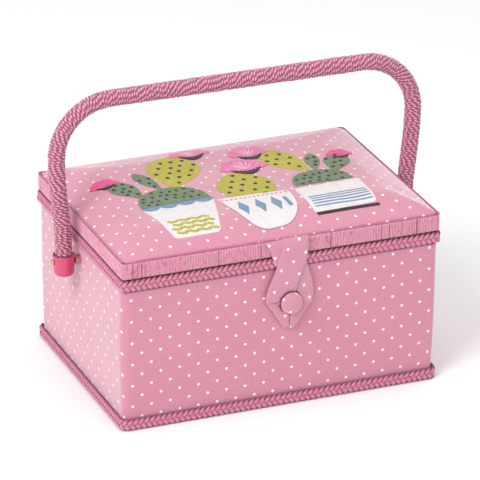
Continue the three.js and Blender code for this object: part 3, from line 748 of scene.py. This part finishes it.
def bindings():
    """The piped seam over the band, whose darker pink is a painted shadow line along the seam, and the cloth
    folded round the lid's rim inside.
    """
    angle = np.arange(8) * TURN / 8
    ring = np.stack([-0.75 + 0.5 * np.cos(angle), 139.2 + 0.4 * np.sin(angle)], -1)
    grid = carried(LID_EDGE, ring, 700)
    made = skin("seam_piping", [grid], "lid", "dotted_cloth", SEAM)
    facing = rounded([(0, 122), (0, 115.14), (-7.15, 115.14), (-7.15, 130.6), (-6.95, 130.6), (-6.95, 115.27),
                      (-0.2, 115.27), (-0.2, 122)], 0.12, 2, closed=True)
    made = skin("rim_facing", [carried((255.4, 182.4, 7.4), facing, 240)], "lid", "lining_cloth", LINING)


# ---------------------------------------------------------------- the padded lid

def rounded_plan(half, corner, spacing):
    """A grid of places spread over a rounded rectangle, and how far in from its edge each is."""
    counts = [max(6, round(2 * h / spacing)) for h in half]
    x, y = np.meshgrid(np.linspace(-half[0], half[0], counts[0] + 1),
                       np.linspace(-half[1], half[1], counts[1] + 1), indexing="ij")
    core = np.array(half) - corner
    spot = np.stack([x, y], -1)
    held = np.clip(spot, -core, core)
    off = spot - held
    long = np.linalg.norm(off, axis=-1)
    most = np.abs(off).max(-1)
    off = off * (np.where(long > 1e-9, most / np.maximum(long, 1e-9), 1))[..., None]
    placed = held + off
    deep = np.where(np.linalg.norm(off, axis=-1) > 0, corner - np.linalg.norm(off, axis=-1),
                    corner + (core - np.abs(spot)).min(-1))
    return placed, np.maximum(deep, 0)


def evened(values, rounds):
    """A grid of heights with its creases evened out, its edge left alone."""
    for _ in range(rounds):
        near = (values[:-2, 1:-1] + values[2:, 1:-1] + values[1:-1, :-2] + values[1:-1, 2:]) / 4
        values[1:-1, 1:-1] = near
    return values


def pad(name, half, corner, centre, seat, crown, run, body, slot, finish, spacing, drop, pressure, cap,
        phase=(0, 0), tilt=0.0, pucker=0.0, puffs=True):
    """A sewn pad: a cover that climbs from its seam at height seat to its crown, closed underneath."""
    plan, deep = rounded_plan(half, corner, spacing)
    climb = 1 - (1 - np.clip(deep / run, 0, 1)) ** 2.4
    high = evened(seat + (crown - seat) * climb, 3)
    gather = np.sin(TURN * (plan[..., 0] + 1.7 * plan[..., 1]) / 11)
    gather = gather + 0.6 * np.sin(plan[..., 0] / 1.9 - plan[..., 1] / 2.3)
    high = high + np.sign(crown - seat) * pucker * gather * np.exp(-deep / 7) * (deep > 0.1)
    top = np.concatenate([plan + centre, high[..., None]], -1)
    rows, columns = top.shape[:2]
    index = np.arange(rows * columns).reshape(rows, columns)
    rim = np.concatenate([index[:, 0], index[-1, 1:], index[-2::-1, -1], index[0, -2:0:-1]])
    level = np.full(plan.shape[:2] + (1,), seat + drop)
    base = np.concatenate([centre + plan * (1 - 2.4 / np.array(half)), level], -1)
    low = rim + rows * columns
    side = np.stack([rim, np.roll(rim, -1), np.roll(low, -1), low], 1)
    faces = np.concatenate([four(index), side, four(index + rows * columns)[:, ::-1]]).tolist()
    points = np.concatenate([top.reshape(-1, 3), base.reshape(-1, 3)])
    u = (points[:, 0] - phase[0]) * math.cos(tilt) + (points[:, 1] - phase[1]) * math.sin(tilt)
    v = (points[:, 1] - phase[1]) * math.cos(tilt) - (points[:, 0] - phase[0]) * math.sin(tilt)
    cloth = np.stack([u * DOTS_ACROSS / 15.2, v * DOTS_ALONG / 17.7], 1)[np.concatenate(faces)]
    made = piece(name, points, faces, body, slot, finish, cloth)
    if puffs:
        held = np.concatenate([deep.ravel() < 0.5, np.ones(rows * columns, bool)])
        inflate(made, held, pressure, cap)
    smoother(made)
    return made


def lid_top():
    """Dotted cotton over wadding, sewn down along the lid's edge and puffed between."""
    made = pad("padded_lid_cover", (129.6, 93.1), 5, np.zeros(2), 139.3, 148.5, 17, "lid", "dotted_cloth",
               DOTTED, 4.2, -2.2, 3.0, 2.4, (1.96, 3.77), math.radians(0.5), 0.12)
    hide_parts("lid_cover", "lid_padding")
    return made


# ---------------------------------------------------------------- cloth pot plants on the lid

def egg(tip, far, width, steps=34):
    """A leaf or pad: a narrow end at tip, widest two thirds of the way to far."""
    tip, far = np.array(tip, float), np.array(far, float)
    run = far - tip
    side = np.array((-run[1], run[0])) / np.linalg.norm(run)
    angle = np.arange(steps) * TURN / steps
    along = 0.5 - 0.5 * np.cos(angle)
    wide = width / 2 * np.sin(math.pi * np.clip(along, 0, 1) ** 1.4) ** 0.75
    wide = wide * np.where(angle < math.pi, 1, -1)
    return tip + along[:, None] * run + wide[:, None] * side


def mound(left, right, height, steps=22):
    """A half-round clump that stands on a line."""
    left, right = np.array(left, float), np.array(right, float)
    angle = np.linspace(math.pi, 0, steps)
    middle, half = (left + right) / 2, (right - left) / 2
    rise = (height * np.sin(angle) ** 0.8)[:, None]
    return middle + half * np.cos(angle)[:, None] + np.array((0, 1.0)) * rise


def fan_flower(centre, reach, petals=5, steps=60):
    """A flower seen from the side: petals fanned over its lower point."""
    angle = np.linspace(math.radians(-22), math.radians(202), steps)
    share = (angle - angle[0]) / (angle[-1] - angle[0])
    ripple = 0.8 + 0.2 * np.abs(np.sin(share * math.pi * petals)) ** 0.6
    made = np.stack([np.cos(angle) * reach[0] * ripple, np.sin(angle) * reach[1] * ripple], 1)
    low = np.array([(-0.3 * reach[0], -0.55 * reach[1]), (0.3 * reach[0], -0.55 * reach[1])])
    return np.concatenate([made, low]) + np.array(centre)


def calyx(centre, reach):
    """The small cup of leaves that holds a flower."""
    x, y = centre
    a, b = reach
    t = np.linspace(-1, 1, 15)
    teeth = 0.06 * b * (-1) ** np.arange(15)
    upper = np.stack([x + 0.62 * a * t, y - 0.52 * b + 0.3 * b * t ** 2 + teeth], 1)
    lower = np.stack([x + 0.62 * a * t, y - 0.95 * b + 0.62 * b * t ** 2], 1)[::-1]
    return np.concatenate([upper, lower])


def stamens(centre, reach, count=5):
    """Thin light threads fanned up from a flower's foot."""
    made = []
    for k in range(count):
        angle = math.radians(40 + 100 * k / (count - 1))
        away = np.array((math.cos(angle) * reach[0] * 0.62, math.sin(angle) * reach[1] * 0.72))
        foot = np.array(centre) + (0, -0.35 * reach[1])
        made.append(egg(foot, foot + away + (0, 0.3 * reach[1]), 0.75, 10))
    return made


def pot(corners, corner):
    """A pot or bowl outline with softened corners."""
    return rounded(corners, corner, 6, closed=True)


def seeds(outline, across=6.6, along=7.0, size=1.5):
    """Small lens-shaped marks in staggered rows over a pad."""
    low, high = outline.min(0), outline.max(0)
    made = []
    for row, y in enumerate(np.arange(low[1] + 3, high[1], along)):
        for x in np.arange(low[0] + 1 + (row % 2) * across / 2, high[0], across):
            x, level = x + 0.8 * math.sin(3.1 * x + y), y + 1.1 * math.sin(1.7 * x - 2 * y)
            spot = np.array([(x, level)])
            if inside(outline, spot)[0] and from_edge(outline, spot)[0] > 1.9:
                lean = 0.7 * math.sin(x * 1.3 + y)
                made.append(egg((x - size, level - lean), (x + size, level + lean), size * 2.1, 14))
    return made


def scallops(left, right, count, deep):
    """A strip with a row of half-round tongues along its lower edge."""
    left, right = np.array(left, float), np.array(right, float)
    t = np.linspace(1, 0, count * 9 + 1)
    lower = left + (right - left) * t[:, None]
    lower[:, 1] -= deep * (0.35 + 0.65 * np.abs(np.sin(t * count * math.pi)) ** 0.7)
    return np.concatenate([[left, right], lower])


def bar(first, last, width):
    """A straight strip."""
    first, last = np.array(first, float), np.array(last, float)
    run = (last - first) / np.linalg.norm(last - first)
    side = np.array((-run[1], run[0])) * width / 2
    return np.array([first - side, last - side, last + side, first + side])


def diamond(x, y, wide, high):
    """A diamond standing on its point."""
    return np.array([(x - wide / 2, y), (x, y - high / 2), (x + wide / 2, y), (x, y + high / 2)])


def row_of(first, last, count, length, width, slope=0.0):
    """Evenly spaced stitches in a row."""
    made = []
    for t in np.linspace(0, 1, count):
        x, y = np.array(first) * (1 - t) + np.array(last) * t
        up = slope * (1 if round(t * (count - 1)) % 2 else -1)
        made.append(bar((x - length / 2, y - up), (x + length / 2, y + up), width))
    return made


WHITE_COTTON = woven_cloth("white_cotton_patch", "#DAD5D5", "#E2DEDD", 1.1)
SAGE = woven_cloth("sage_green_cotton_patch", "#74886A", "#677B5B", 1.1)
LIME = woven_cloth("yellow_green_cotton_patch", "#AFA63C", "#B9B24E", 1.1)
BLUE = woven_cloth("grey_blue_cotton_patch", "#7089A8", "#7D95B2", 1.1)
ROSE = woven_cloth("rose_cotton_patch", "#D9729F", "#E28BB0", 1.1)
HOT = woven_cloth("hot_pink_cotton_patch", "#DA4A86", "#E06496", 1.1)
NAVY = woven_cloth("navy_thread", "#33202B", "#45303C", 0.9)


def planted(lid):
    """Three potted plants of applied cloth, each piece dropped onto the lid's own surface."""
    surface = BVHTree.FromObject(lid, bpy.context.evaluated_depsgraph_get())
    middle = surface.ray_cast(Vector((0, 0, 0.2)), Vector((0, 0, -1)))[0].z / MM
    spread = np.array((-0.85, -2.13)) * (middle - 147)

    def on_lid(layer):
        def lay(points, up):
            points = points + spread
            down = Vector((0, 0, -1))
            high = [surface.ray_cast(Vector((x * MM, y * MM, 0.2)), down)[0] for x, y in points]
            z = np.array([h.z / MM for h in high]) + 0.12 + 0.17 * layer + up
            return np.concatenate([points, z[:, None]], 1)
        return lay

    def sew(name, finish, layer, outlines, node=None, spacing=3.2):
        plates = [cloth_plate(o, spacing, on_lid(layer), 0.3) for o in outlines]
        made = together(name, plates, "lid", "motif_cloth", finish, crease=25)
        if node:
            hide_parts(node)

    # left: a wide pot with a scalloped collar, a clump, two seeded pads, a tall yellow leaf, two flowers
    pads = [egg((-77, -2), (-92, 35), 21), egg((-58, 8), (-69, 46), 13)]
    clump = mound((-86, -20), (-29, -16), 29)
    big, small = ((-13, 68), (17, 13.5)), ((-96, 35), (12, 9))
    wide_pot = pot([(-86.5, -21.5), (-27, -18), (-41, -69), (-78, -70)], 4)
    sew("left_pot", WHITE_COTTON, 0, [wide_pot], "motif_left")
    leaf = egg((-49, 6), (-27, 69), 43)
    sew("left_leaf", LIME, 0, [leaf])
    sew("left_pads", SAGE, 1, pads)
    sew("left_clump", SAGE, 2, [clump])
    sew("left_seeds", NAVY, 3, sum([seeds(p) for p in pads + [clump]], []), spacing=2)
    sew("left_leaf_seeds", NAVY, 1, seeds(leaf, 9.4, 9.6, 1.8), spacing=2)
    sew("left_collar", BLUE, 2, [scallops((-86.5, -20.5), (-27.5, -16.5), 4, 6.5)])
    sew("left_flower", ROSE, 2, [fan_flower(*big, 5)])
    sew("left_small_flower", HOT, 2, [fan_flower(*small, 4)])
    sew("left_calyxes", NAVY, 3, [calyx(*big), calyx(*small)], spacing=2)
    sew("left_stamens", WHITE_COTTON, 4, stamens(*big), spacing=2)
    dashes = []
    for row, y in enumerate((-49.5, -54.5, -59.5, -64.5)):
        dashes += row_of((-74.5 + 2.4 * (row % 2), y), (-45.5 + 2.4 * (row % 2), y + 0.8), 7, 4.3, 2.5, 1.1)
    sew("left_stitches", LIME, 2, dashes, spacing=2)

    # middle: a round bowl with blue diamonds, a yellow clump and one flower
    bloom = ((17, 28), (19.5, 15.5))
    bowl = [(-27, -23.5), (32, -25.5), (30, -46), (25, -61), (14, -73), (-6, -75), (-13, -70), (-20, -53)]
    sew("middle_bowl", WHITE_COTTON, 3, [pot(bowl, 7)], "motif_middle")
    dome = egg((6, -48), (3, 20), 45)
    sew("middle_clump", LIME, 1, [dome])
    sew("middle_seeds", NAVY, 2, seeds(dome, 10, 10, 1.8), spacing=2)
    sew("middle_flower", ROSE, 2, [fan_flower(*bloom, 5)])
    sew("middle_calyx", NAVY, 3, [calyx(*bloom)], spacing=2)
    sew("middle_stamens", WHITE_COTTON, 4, stamens(*bloom), spacing=2)
    gems = [diamond(x, -45, 8.4, 23) for x in (-13, 1, 14)] + [bar((23.2, -37), (23.2, -53), 3.4)]
    sew("middle_diamonds", BLUE, 4, gems)
    sew("middle_stitches", HOT, 4, row_of((-24, -28.4), (28, -28.8), 15, 1.9, 1.3), spacing=2)

    # right: a square pot with stripes, a clump, two seeded pads, a yellow leaf and two flowers
    pads = [egg((67, 2), (75, 35), 12), egg((80, -5), (96, 28), 21)]
    clump = mound((40, -21), (88.4, -20.5), 24)
    one, two = ((97, 26), (11, 9)), ((30, 52), (16, 14))
    square_pot = pot([(37, -25), (92, -22.6), (90.5, -61.5), (38, -66)], 3)
    sew("right_pot", WHITE_COTTON, 0, [square_pot], "motif_right")
    leaf = egg((63, 1), (38, 56), 29)
    sew("right_leaf", LIME, 0, [leaf])
    sew("right_leaf_seeds", NAVY, 1, seeds(leaf, 9.4, 9.6, 1.8), spacing=2)
    sew("right_pads", SAGE, 1, pads)
    sew("right_clump", SAGE, 2, [clump])
    sew("right_seeds", NAVY, 3, sum([seeds(p) for p in pads + [clump]], []), spacing=2)
    sew("right_flower", ROSE, 2, [fan_flower(*two, 5)])
    sew("right_small_flower", HOT, 2, [fan_flower(*one, 4)])
    sew("right_calyxes", NAVY, 3, [calyx(*one), calyx(*two)], spacing=2)
    sew("right_stamens", WHITE_COTTON, 4, stamens(*two), spacing=2)
    stripes = [bar((41, y - 0.6), (89, y + 0.6), 1.5) for y in (-43, -46.6, -50.2, -53.8, -57.4)]
    sew("right_stripes", BLUE, 1, stripes, spacing=4)
    sew("right_foot_line", NAVY, 1, [bar((38.7, -66.8), (91, -65.2), 3.2)], spacing=3)


# ---------------------------------------------------------------- handle

PIVOT = 105.0
LEG = 142.6


def bail_line(count):
    """The middle of the handle's cord from cap to cap, evenly spaced, in the plane y = 0."""
    high = np.linspace(110.8, 189.5, 80)
    rise = np.sin(np.clip((high - 110.5) / 79, 0, 1) * math.pi / 2) ** 2
    leg = np.stack([LEG + 5.2 * rise, high], -1)
    angle = np.linspace(0, math.pi / 2, 40)[1:]
    bend = np.stack([103.8 + 44 * np.cos(angle), 189.5 + 44 * np.sin(angle)], -1)
    right = np.concatenate([leg, bend])
    line = np.concatenate([right, right[::-1] * (-1, 1)])
    far = length_along(line)
    even = np.linspace(0, far[-1], count)
    return np.stack([np.interp(even, far, line[:, 0]), np.interp(even, far, line[:, 1])], -1), even


def winding():
    """Two-ply cord wound close round the bail, one turn every 2.1 mm."""
    _, far = bail_line(2)
    turns = round(far[-1] / 2.1)
    line, s = bail_line(turns * 6 + 1)
    along = np.gradient(line, axis=0)
    along /= np.linalg.norm(along, axis=1, keepdims=True)
    normal = np.stack([along[:, 1], -along[:, 0]], -1)
    columns = 56
    angle = np.arange(columns) * TURN / columns
    lap = s[:, None] / far[-1] * turns - angle[None] / TURN
    across = 2 * (lap - np.floor(lap)) - 1
    rng = np.random.default_rng(5)
    twist = rng.uniform(0, TURN, turns + 4)[np.floor(lap).astype(int) + 2]
    ply = np.cos(angle[None] * 9 + across * 1.7 + twist)
    uneven = np.interp(np.floor(lap), np.arange(-2, turns + 2), rng.normal(0, 0.07, turns + 4))
    ridge = np.sqrt(np.clip(1 - across ** 2, 0, 1))
    radius = 5.6 + 0.95 * ridge + 0.3 * ply * ridge + 1.5 * uneven * ridge
    upright = np.concatenate([normal[:, :1], np.zeros((len(s), 1)), normal[:, 1:]], 1)
    out = np.cos(angle)[None, :, None] * upright[:, None]
    out = out + np.sin(angle)[None, :, None] * np.array((0, 1.0, 0))
    middle = np.stack([line[:, 0], np.zeros(len(s)), line[:, 1]], -1)
    grid = middle[:, None] + out * radius[..., None]
    # Painted light in the relief attribute: a painted highlight on each turn's crest, painted shade between
    # the turns, varied by the ply.
    relief = np.clip(ridge * (0.62 + 0.5 * ply), 0, 1)
    made = skin("wound_cord_handle", [grid], "handle", "wound_cord", WOUND, reliefs=[relief], ring=False)
    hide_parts("handle_wrap")


def handle_fittings():
    """Moulded end caps with a rolled rim, rivets, spacers and the washers inside."""
    cap = rounded([(0.01, 94.0), (6.6, 94.0), (8.1, 96.0), (8.5, 108.4), (8.95, 108.8), (8.95, 110.7),
                   (7.1, 110.7), (6.9, 108.5), (0.01, 108.3)], 1.5, 6)
    head = rounded([(0.01, 8.4), (1.5, 8.4), (1.5, 151.0), (2.3, 151.05), (2.2, 152.0), (1.2, 152.9),
                    (0.01, 152.95)], 0.5, 4)
    spacer = rounded([(1.9, 128.75), (3.8, 128.75), (3.8, 134.05), (1.9, 134.05)], 0.5, 4, closed=True)
    washer = rounded([(1.7, 118.45), (5.5, 118.45), (5.5, 119.35), (1.7, 119.35)], 0.25, 3, closed=True)
    for side, sign in SIDES:
        axis = (sign, 0, 0)
        made = turned(f"handle_end_cap_{side}", cap, (sign * LEG, 0, 0), (0, 0, 1), "handle",
                      "cap_plastic", CAP, steps=56)
        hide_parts(f"handle_cap_{side}")
        made = turned(f"domed_rivet_{side}", head[head[:, 1] > 100], (0, 0, PIVOT), axis, "handle_pivots",
                      "brass", BRASS, steps=36)
        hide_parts(f"handle_rivet_{side}")
        made = turned(f"spacer_tube_{side}", spacer, (0, 0, PIVOT), axis, "handle_pivots",
                      "brass", PINK_METAL, closed=True)
        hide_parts(f"handle_spacer_{side}")
        made = turned(f"inside_washer_{side}", washer, (0, 0, PIVOT), axis, "base",
                      "steel", STEEL, closed=True)
        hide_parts(f"rivet_washer_{side}")


# ---------------------------------------------------------------- loop and button

EYE = np.array((5.2, 87.5))


def eye_arc(first, last, radius=9.35, steps=14):
    """Points round the loop's opening, angles in degrees."""
    angle = np.radians(np.linspace(first, last, steps))
    return [tuple(EYE + radius * np.array((math.cos(a), math.sin(a)))) for a in angle]


def tape_cloth(points):
    """Cloth coordinates of the tape, whose dots lean with the strip."""
    lean = math.radians(-17)
    x, z = points[:, 0] - 6.8, points[:, 1] - 121.1
    across = x * math.cos(lean) + z * math.sin(lean)
    return np.stack([across, z * math.cos(lean) - x * math.sin(lean)], 1)


def closure_tape():
    """A strip of dotted cotton folded to a point, its fold making the eye that goes over the button."""
    front = [(-2.2, 139.8), (20, 139.9), (18.3, 123), (14.4, 111.5), (9.5, 99)] + eye_arc(65, 185)
    front += [(-4.7, 88.4), (-9.3, 89.1), (-14, 88.6), (-15.3, 94), (-12.9, 101.5)]
    front += [(-7.4, 114.8), (-1.4, 134.5)]
    back = [(-16.3, 138.8), (0, 139.2), (18.3, 119), (22.6, 106), (24.5, 95), (23.2, 86.5)]
    back += [(9, 65.8), (5.3, 65.3), (5.3, 78.1)] + eye_arc(-89, 100)
    back += [(2, 100), (-6, 118), (-8, 119), (-11.2, 131)]
    corner = [(-15.2, 93.8), (-14, 88.4), (-0.3, 66.9), (4.7, 65.4), (4.7, 78.1)] + eye_arc(267, 180)
    corner += [(-4.1, 87.5), (-9.2, 89.3), (-11.9, 95.9)]

    def lay_at(y):
        def lay(points, up):
            bend = np.clip((points[:, 1] - 131) / 8.5, 0, 1) ** 2
            middle = y * (1 - bend) + -93.75 * bend
            swell = 0.25 * np.sin(points[:, 0] / 6.5) * (1 - bend)
            depth = middle - up * (1 - 0.4 * bend) - swell * (y < -96)
            return np.stack([points[:, 0], depth, points[:, 1]], 1)
        return lay

    plates = [cloth_plate(front, 1.5, lay_at(-96.35), 1.0, 0.9)]
    plates += [cloth_plate(part, 1.5, lay_at(-95.3), 0.95, 0.9) for part in (back, corner)]
    plates = [(points, faces, tape_cloth(cloth)) for points, faces, cloth in plates]
    made = together("closure_tape", plates, None, "dotted_cloth", TAPE)
    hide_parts("closure_loop")
    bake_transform(made)


def covered_button():
    """Dotted cotton drawn over a domed shell and gathered in behind."""
    dome = rounded([(0.01, 5.65), (4.5, 5.35), (7.4, 4.0), (8.75, 1.5), (8.3, 0.05), (5.2, 0.02),
                    (0.01, 0.3)], 2.6, 6)
    lean = math.radians(67)

    def cloth(grid):
        x, z = grid[..., 0] - 5.2 - 3.55, grid[..., 2] - 87.5 - 8.3
        across = x * math.cos(lean) + z * math.sin(lean)
        return np.stack([across, z * math.cos(lean) - x * math.sin(lean)], -1)

    made = turned("covered_button", dome, (5.2, -97.3, 87.5), (0, -1, 0), "base", "dotted_cloth",
                  TAPE, steps=48, cloth=cloth)
    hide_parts("button_cover")


# ---------------------------------------------------------------- inside

def linings():
    """The inside of the body and lid: cloth-covered card, a padded floor, a pincushion and a pocket."""
    low, high = span("lining_walls")
    size = (high[0] * 2, high[1] * 2, 5.0)
    card = rounded([(0, 5.5), (0, 113.6), (-0.8, 113.6), (-0.8, 5.5)], 0.35, 3, closed=True)
    made = skin("wall_lining", [carried(size, card, 240)], "base", "lining_cloth", LINING)
    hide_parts("lining_walls")
    low, high = span("floor_pad")
    made = pad("padded_floor", tuple(high[:2] - 0.3), 4, np.zeros(2), 6.2, 8.5, 12, "base",
               "lining_cloth", LINING, 5, -0.75, 0, 0, puffs=False)
    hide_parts("floor_pad")
    low, high = span("lid_lining")
    made = pad("lid_inner_lining", tuple(high[:2] - 0.1), 4, np.zeros(2), 131.4, 130.95, 3, "lid",
               "lining_cloth", LINING, 6, 0.9, 0, 0, puffs=False)
    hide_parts("lid_lining")
    low, high = span("pincushion")
    middle, half = (low + high)[:2] / 2, (high - low)[:2] / 2
    made = pad("pincushion_pad", tuple(half - 0.2), 14, middle, high[2] - 1.8, low[2] + 0.8, 13, "lid",
               "dotted_cloth", DOTTED, 3, 1.5, 2.0, 0.7, pucker=0.25)
    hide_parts("pincushion")
    low, high = span("lid_pocket")
    middle, half = (low + high)[:2] / 2, (high - low)[:2] / 2
    made = gathered_pocket(middle, half, high[2], low[2])
    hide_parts("lid_pocket")


def gathered_pocket(middle, half, sewn, hangs):
    """A patch pocket under the lid, gathered onto elastic along its free edge."""
    columns, rows = 150, 24
    x, t = np.meshgrid(np.linspace(-1, 1, columns), np.linspace(0, 1, rows), indexing="ij")
    edge = np.minimum(1 - np.abs(x), 0.12) / 0.12
    deep = np.clip(edge, 0, 1) ** 0.6 * np.clip((1 - t) / 0.12, 0, 1) ** 0.6
    ripple = 0.5 + 0.5 * np.cos(TURN * 15 * (x + 0.04 * np.sin(7 * x)))
    gather = np.exp(-(((t - 0.07) / 0.05) ** 2))
    drop = (sewn - hangs - 1.4) * deep * (0.7 + 0.3 * ripple * (1 - 0.5 * t)) - 1.1 * gather * deep
    plan = np.stack([middle[0] + x * half[0], middle[1] - half[1] + t * 2 * half[1]], -1)
    face = np.concatenate([plan, (sewn - 0.5 - drop)[..., None]], -1)
    back = np.concatenate([plan[:, ::-1], np.full((columns, rows, 1), sewn - 0.05)], -1)
    grid = np.concatenate([face, back], 1)
    cloth = np.concatenate([grid, grid[:, :1]], 1)[..., :2]
    return skin("gathered_lid_pocket", [grid], "lid", "dotted_cloth", DOTTED, [cloth], ring=False)


def tray():
    """A moulded tray with a rolled rim and a flat floor, and its slot-in dividers."""
    low, high = span("tray_shell")
    size = (high[0] * 2, high[1] * 2, 6.0)
    profile = rounded([(-5.0, 68.05), (-0.4, 68.05), (0, 70), (0, 108.95), (-1.8, 108.95),
                       (-1.8, 70.0), (-5.0, 70.0)], 1.1, 5)
    made = skin("tray_tub", [carried(size, profile, 200)], "tray", "tray_plastic", TRAY,
                tube=False, lids=True)
    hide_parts("tray_shell")
    for node in ("tray_divider_long", "tray_divider_left", "tray_divider_right"):
        softened(node, 0.35, TRAY)


def fittings_and_boards():
    """The hinges with their screws, and the boards and cloth that keep the solid's own shape."""
    for side, _ in SIDES:
        softened(f"hinge_body_leaf_{side}", 0.18, BRASS)
        softened(f"hinge_lid_leaf_{side}", 0.18, BRASS)
        softened(f"hinge_pin_{side}", 0.15, STEEL)
        for place in ("outer", "inner"):
            softened(f"hinge_body_screw_{side}_{place}", 0.15, BRASS)
            softened(f"hinge_lid_screw_{side}_{place}", 0.15, BRASS)
        softened(f"tray_ledge_{side}", 0.5, BOARD)
    dress(STEEL, "button_back")
    softened("underside_cover", 0.3, LINING)
    dress(CORE, "handle_core")
    dress(BOARD, "bottom_board", "wall_front", "wall_back", "wall_left", "wall_right", "lid_board",
          "lid_rim_front", "lid_rim_back", "lid_rim_left", "lid_rim_right")


def floor():
    """A wide, flat, matt white table."""
    made, tree = begin("matt_white_table")
    place = add(tree, "TexCoord").outputs["Object"]
    grain = cloudy(tree, place, 3.0)
    colour = blended(tree, grain, linear("#F7F7F7"), linear("#FAFAFA"))
    end(tree, colour, grain, 0.00003, {"Roughness": 0.9, "Specular IOR Level": 0.1})
    mesh = bpy.data.meshes.new("table")
    corners = [(-9, -9, -0.0002), (9, -9, -0.0002), (9, 9, -0.0002), (-9, 9, -0.0002)]
    mesh.from_pydata(corners, [], [(0, 1, 2, 3)])
    mesh.materials.append(made)
    table = bpy.data.objects.new("table", mesh)
    bpy.context.scene.collection.objects.link(table)


set_camera()
set_light()
floor()
body_cloth()
plaits()
gathered_band()
bindings()
planted(lid_top())
winding()
handle_fittings()
closure_tape()
covered_button()
linings()
tray()
fittings_and_boards()
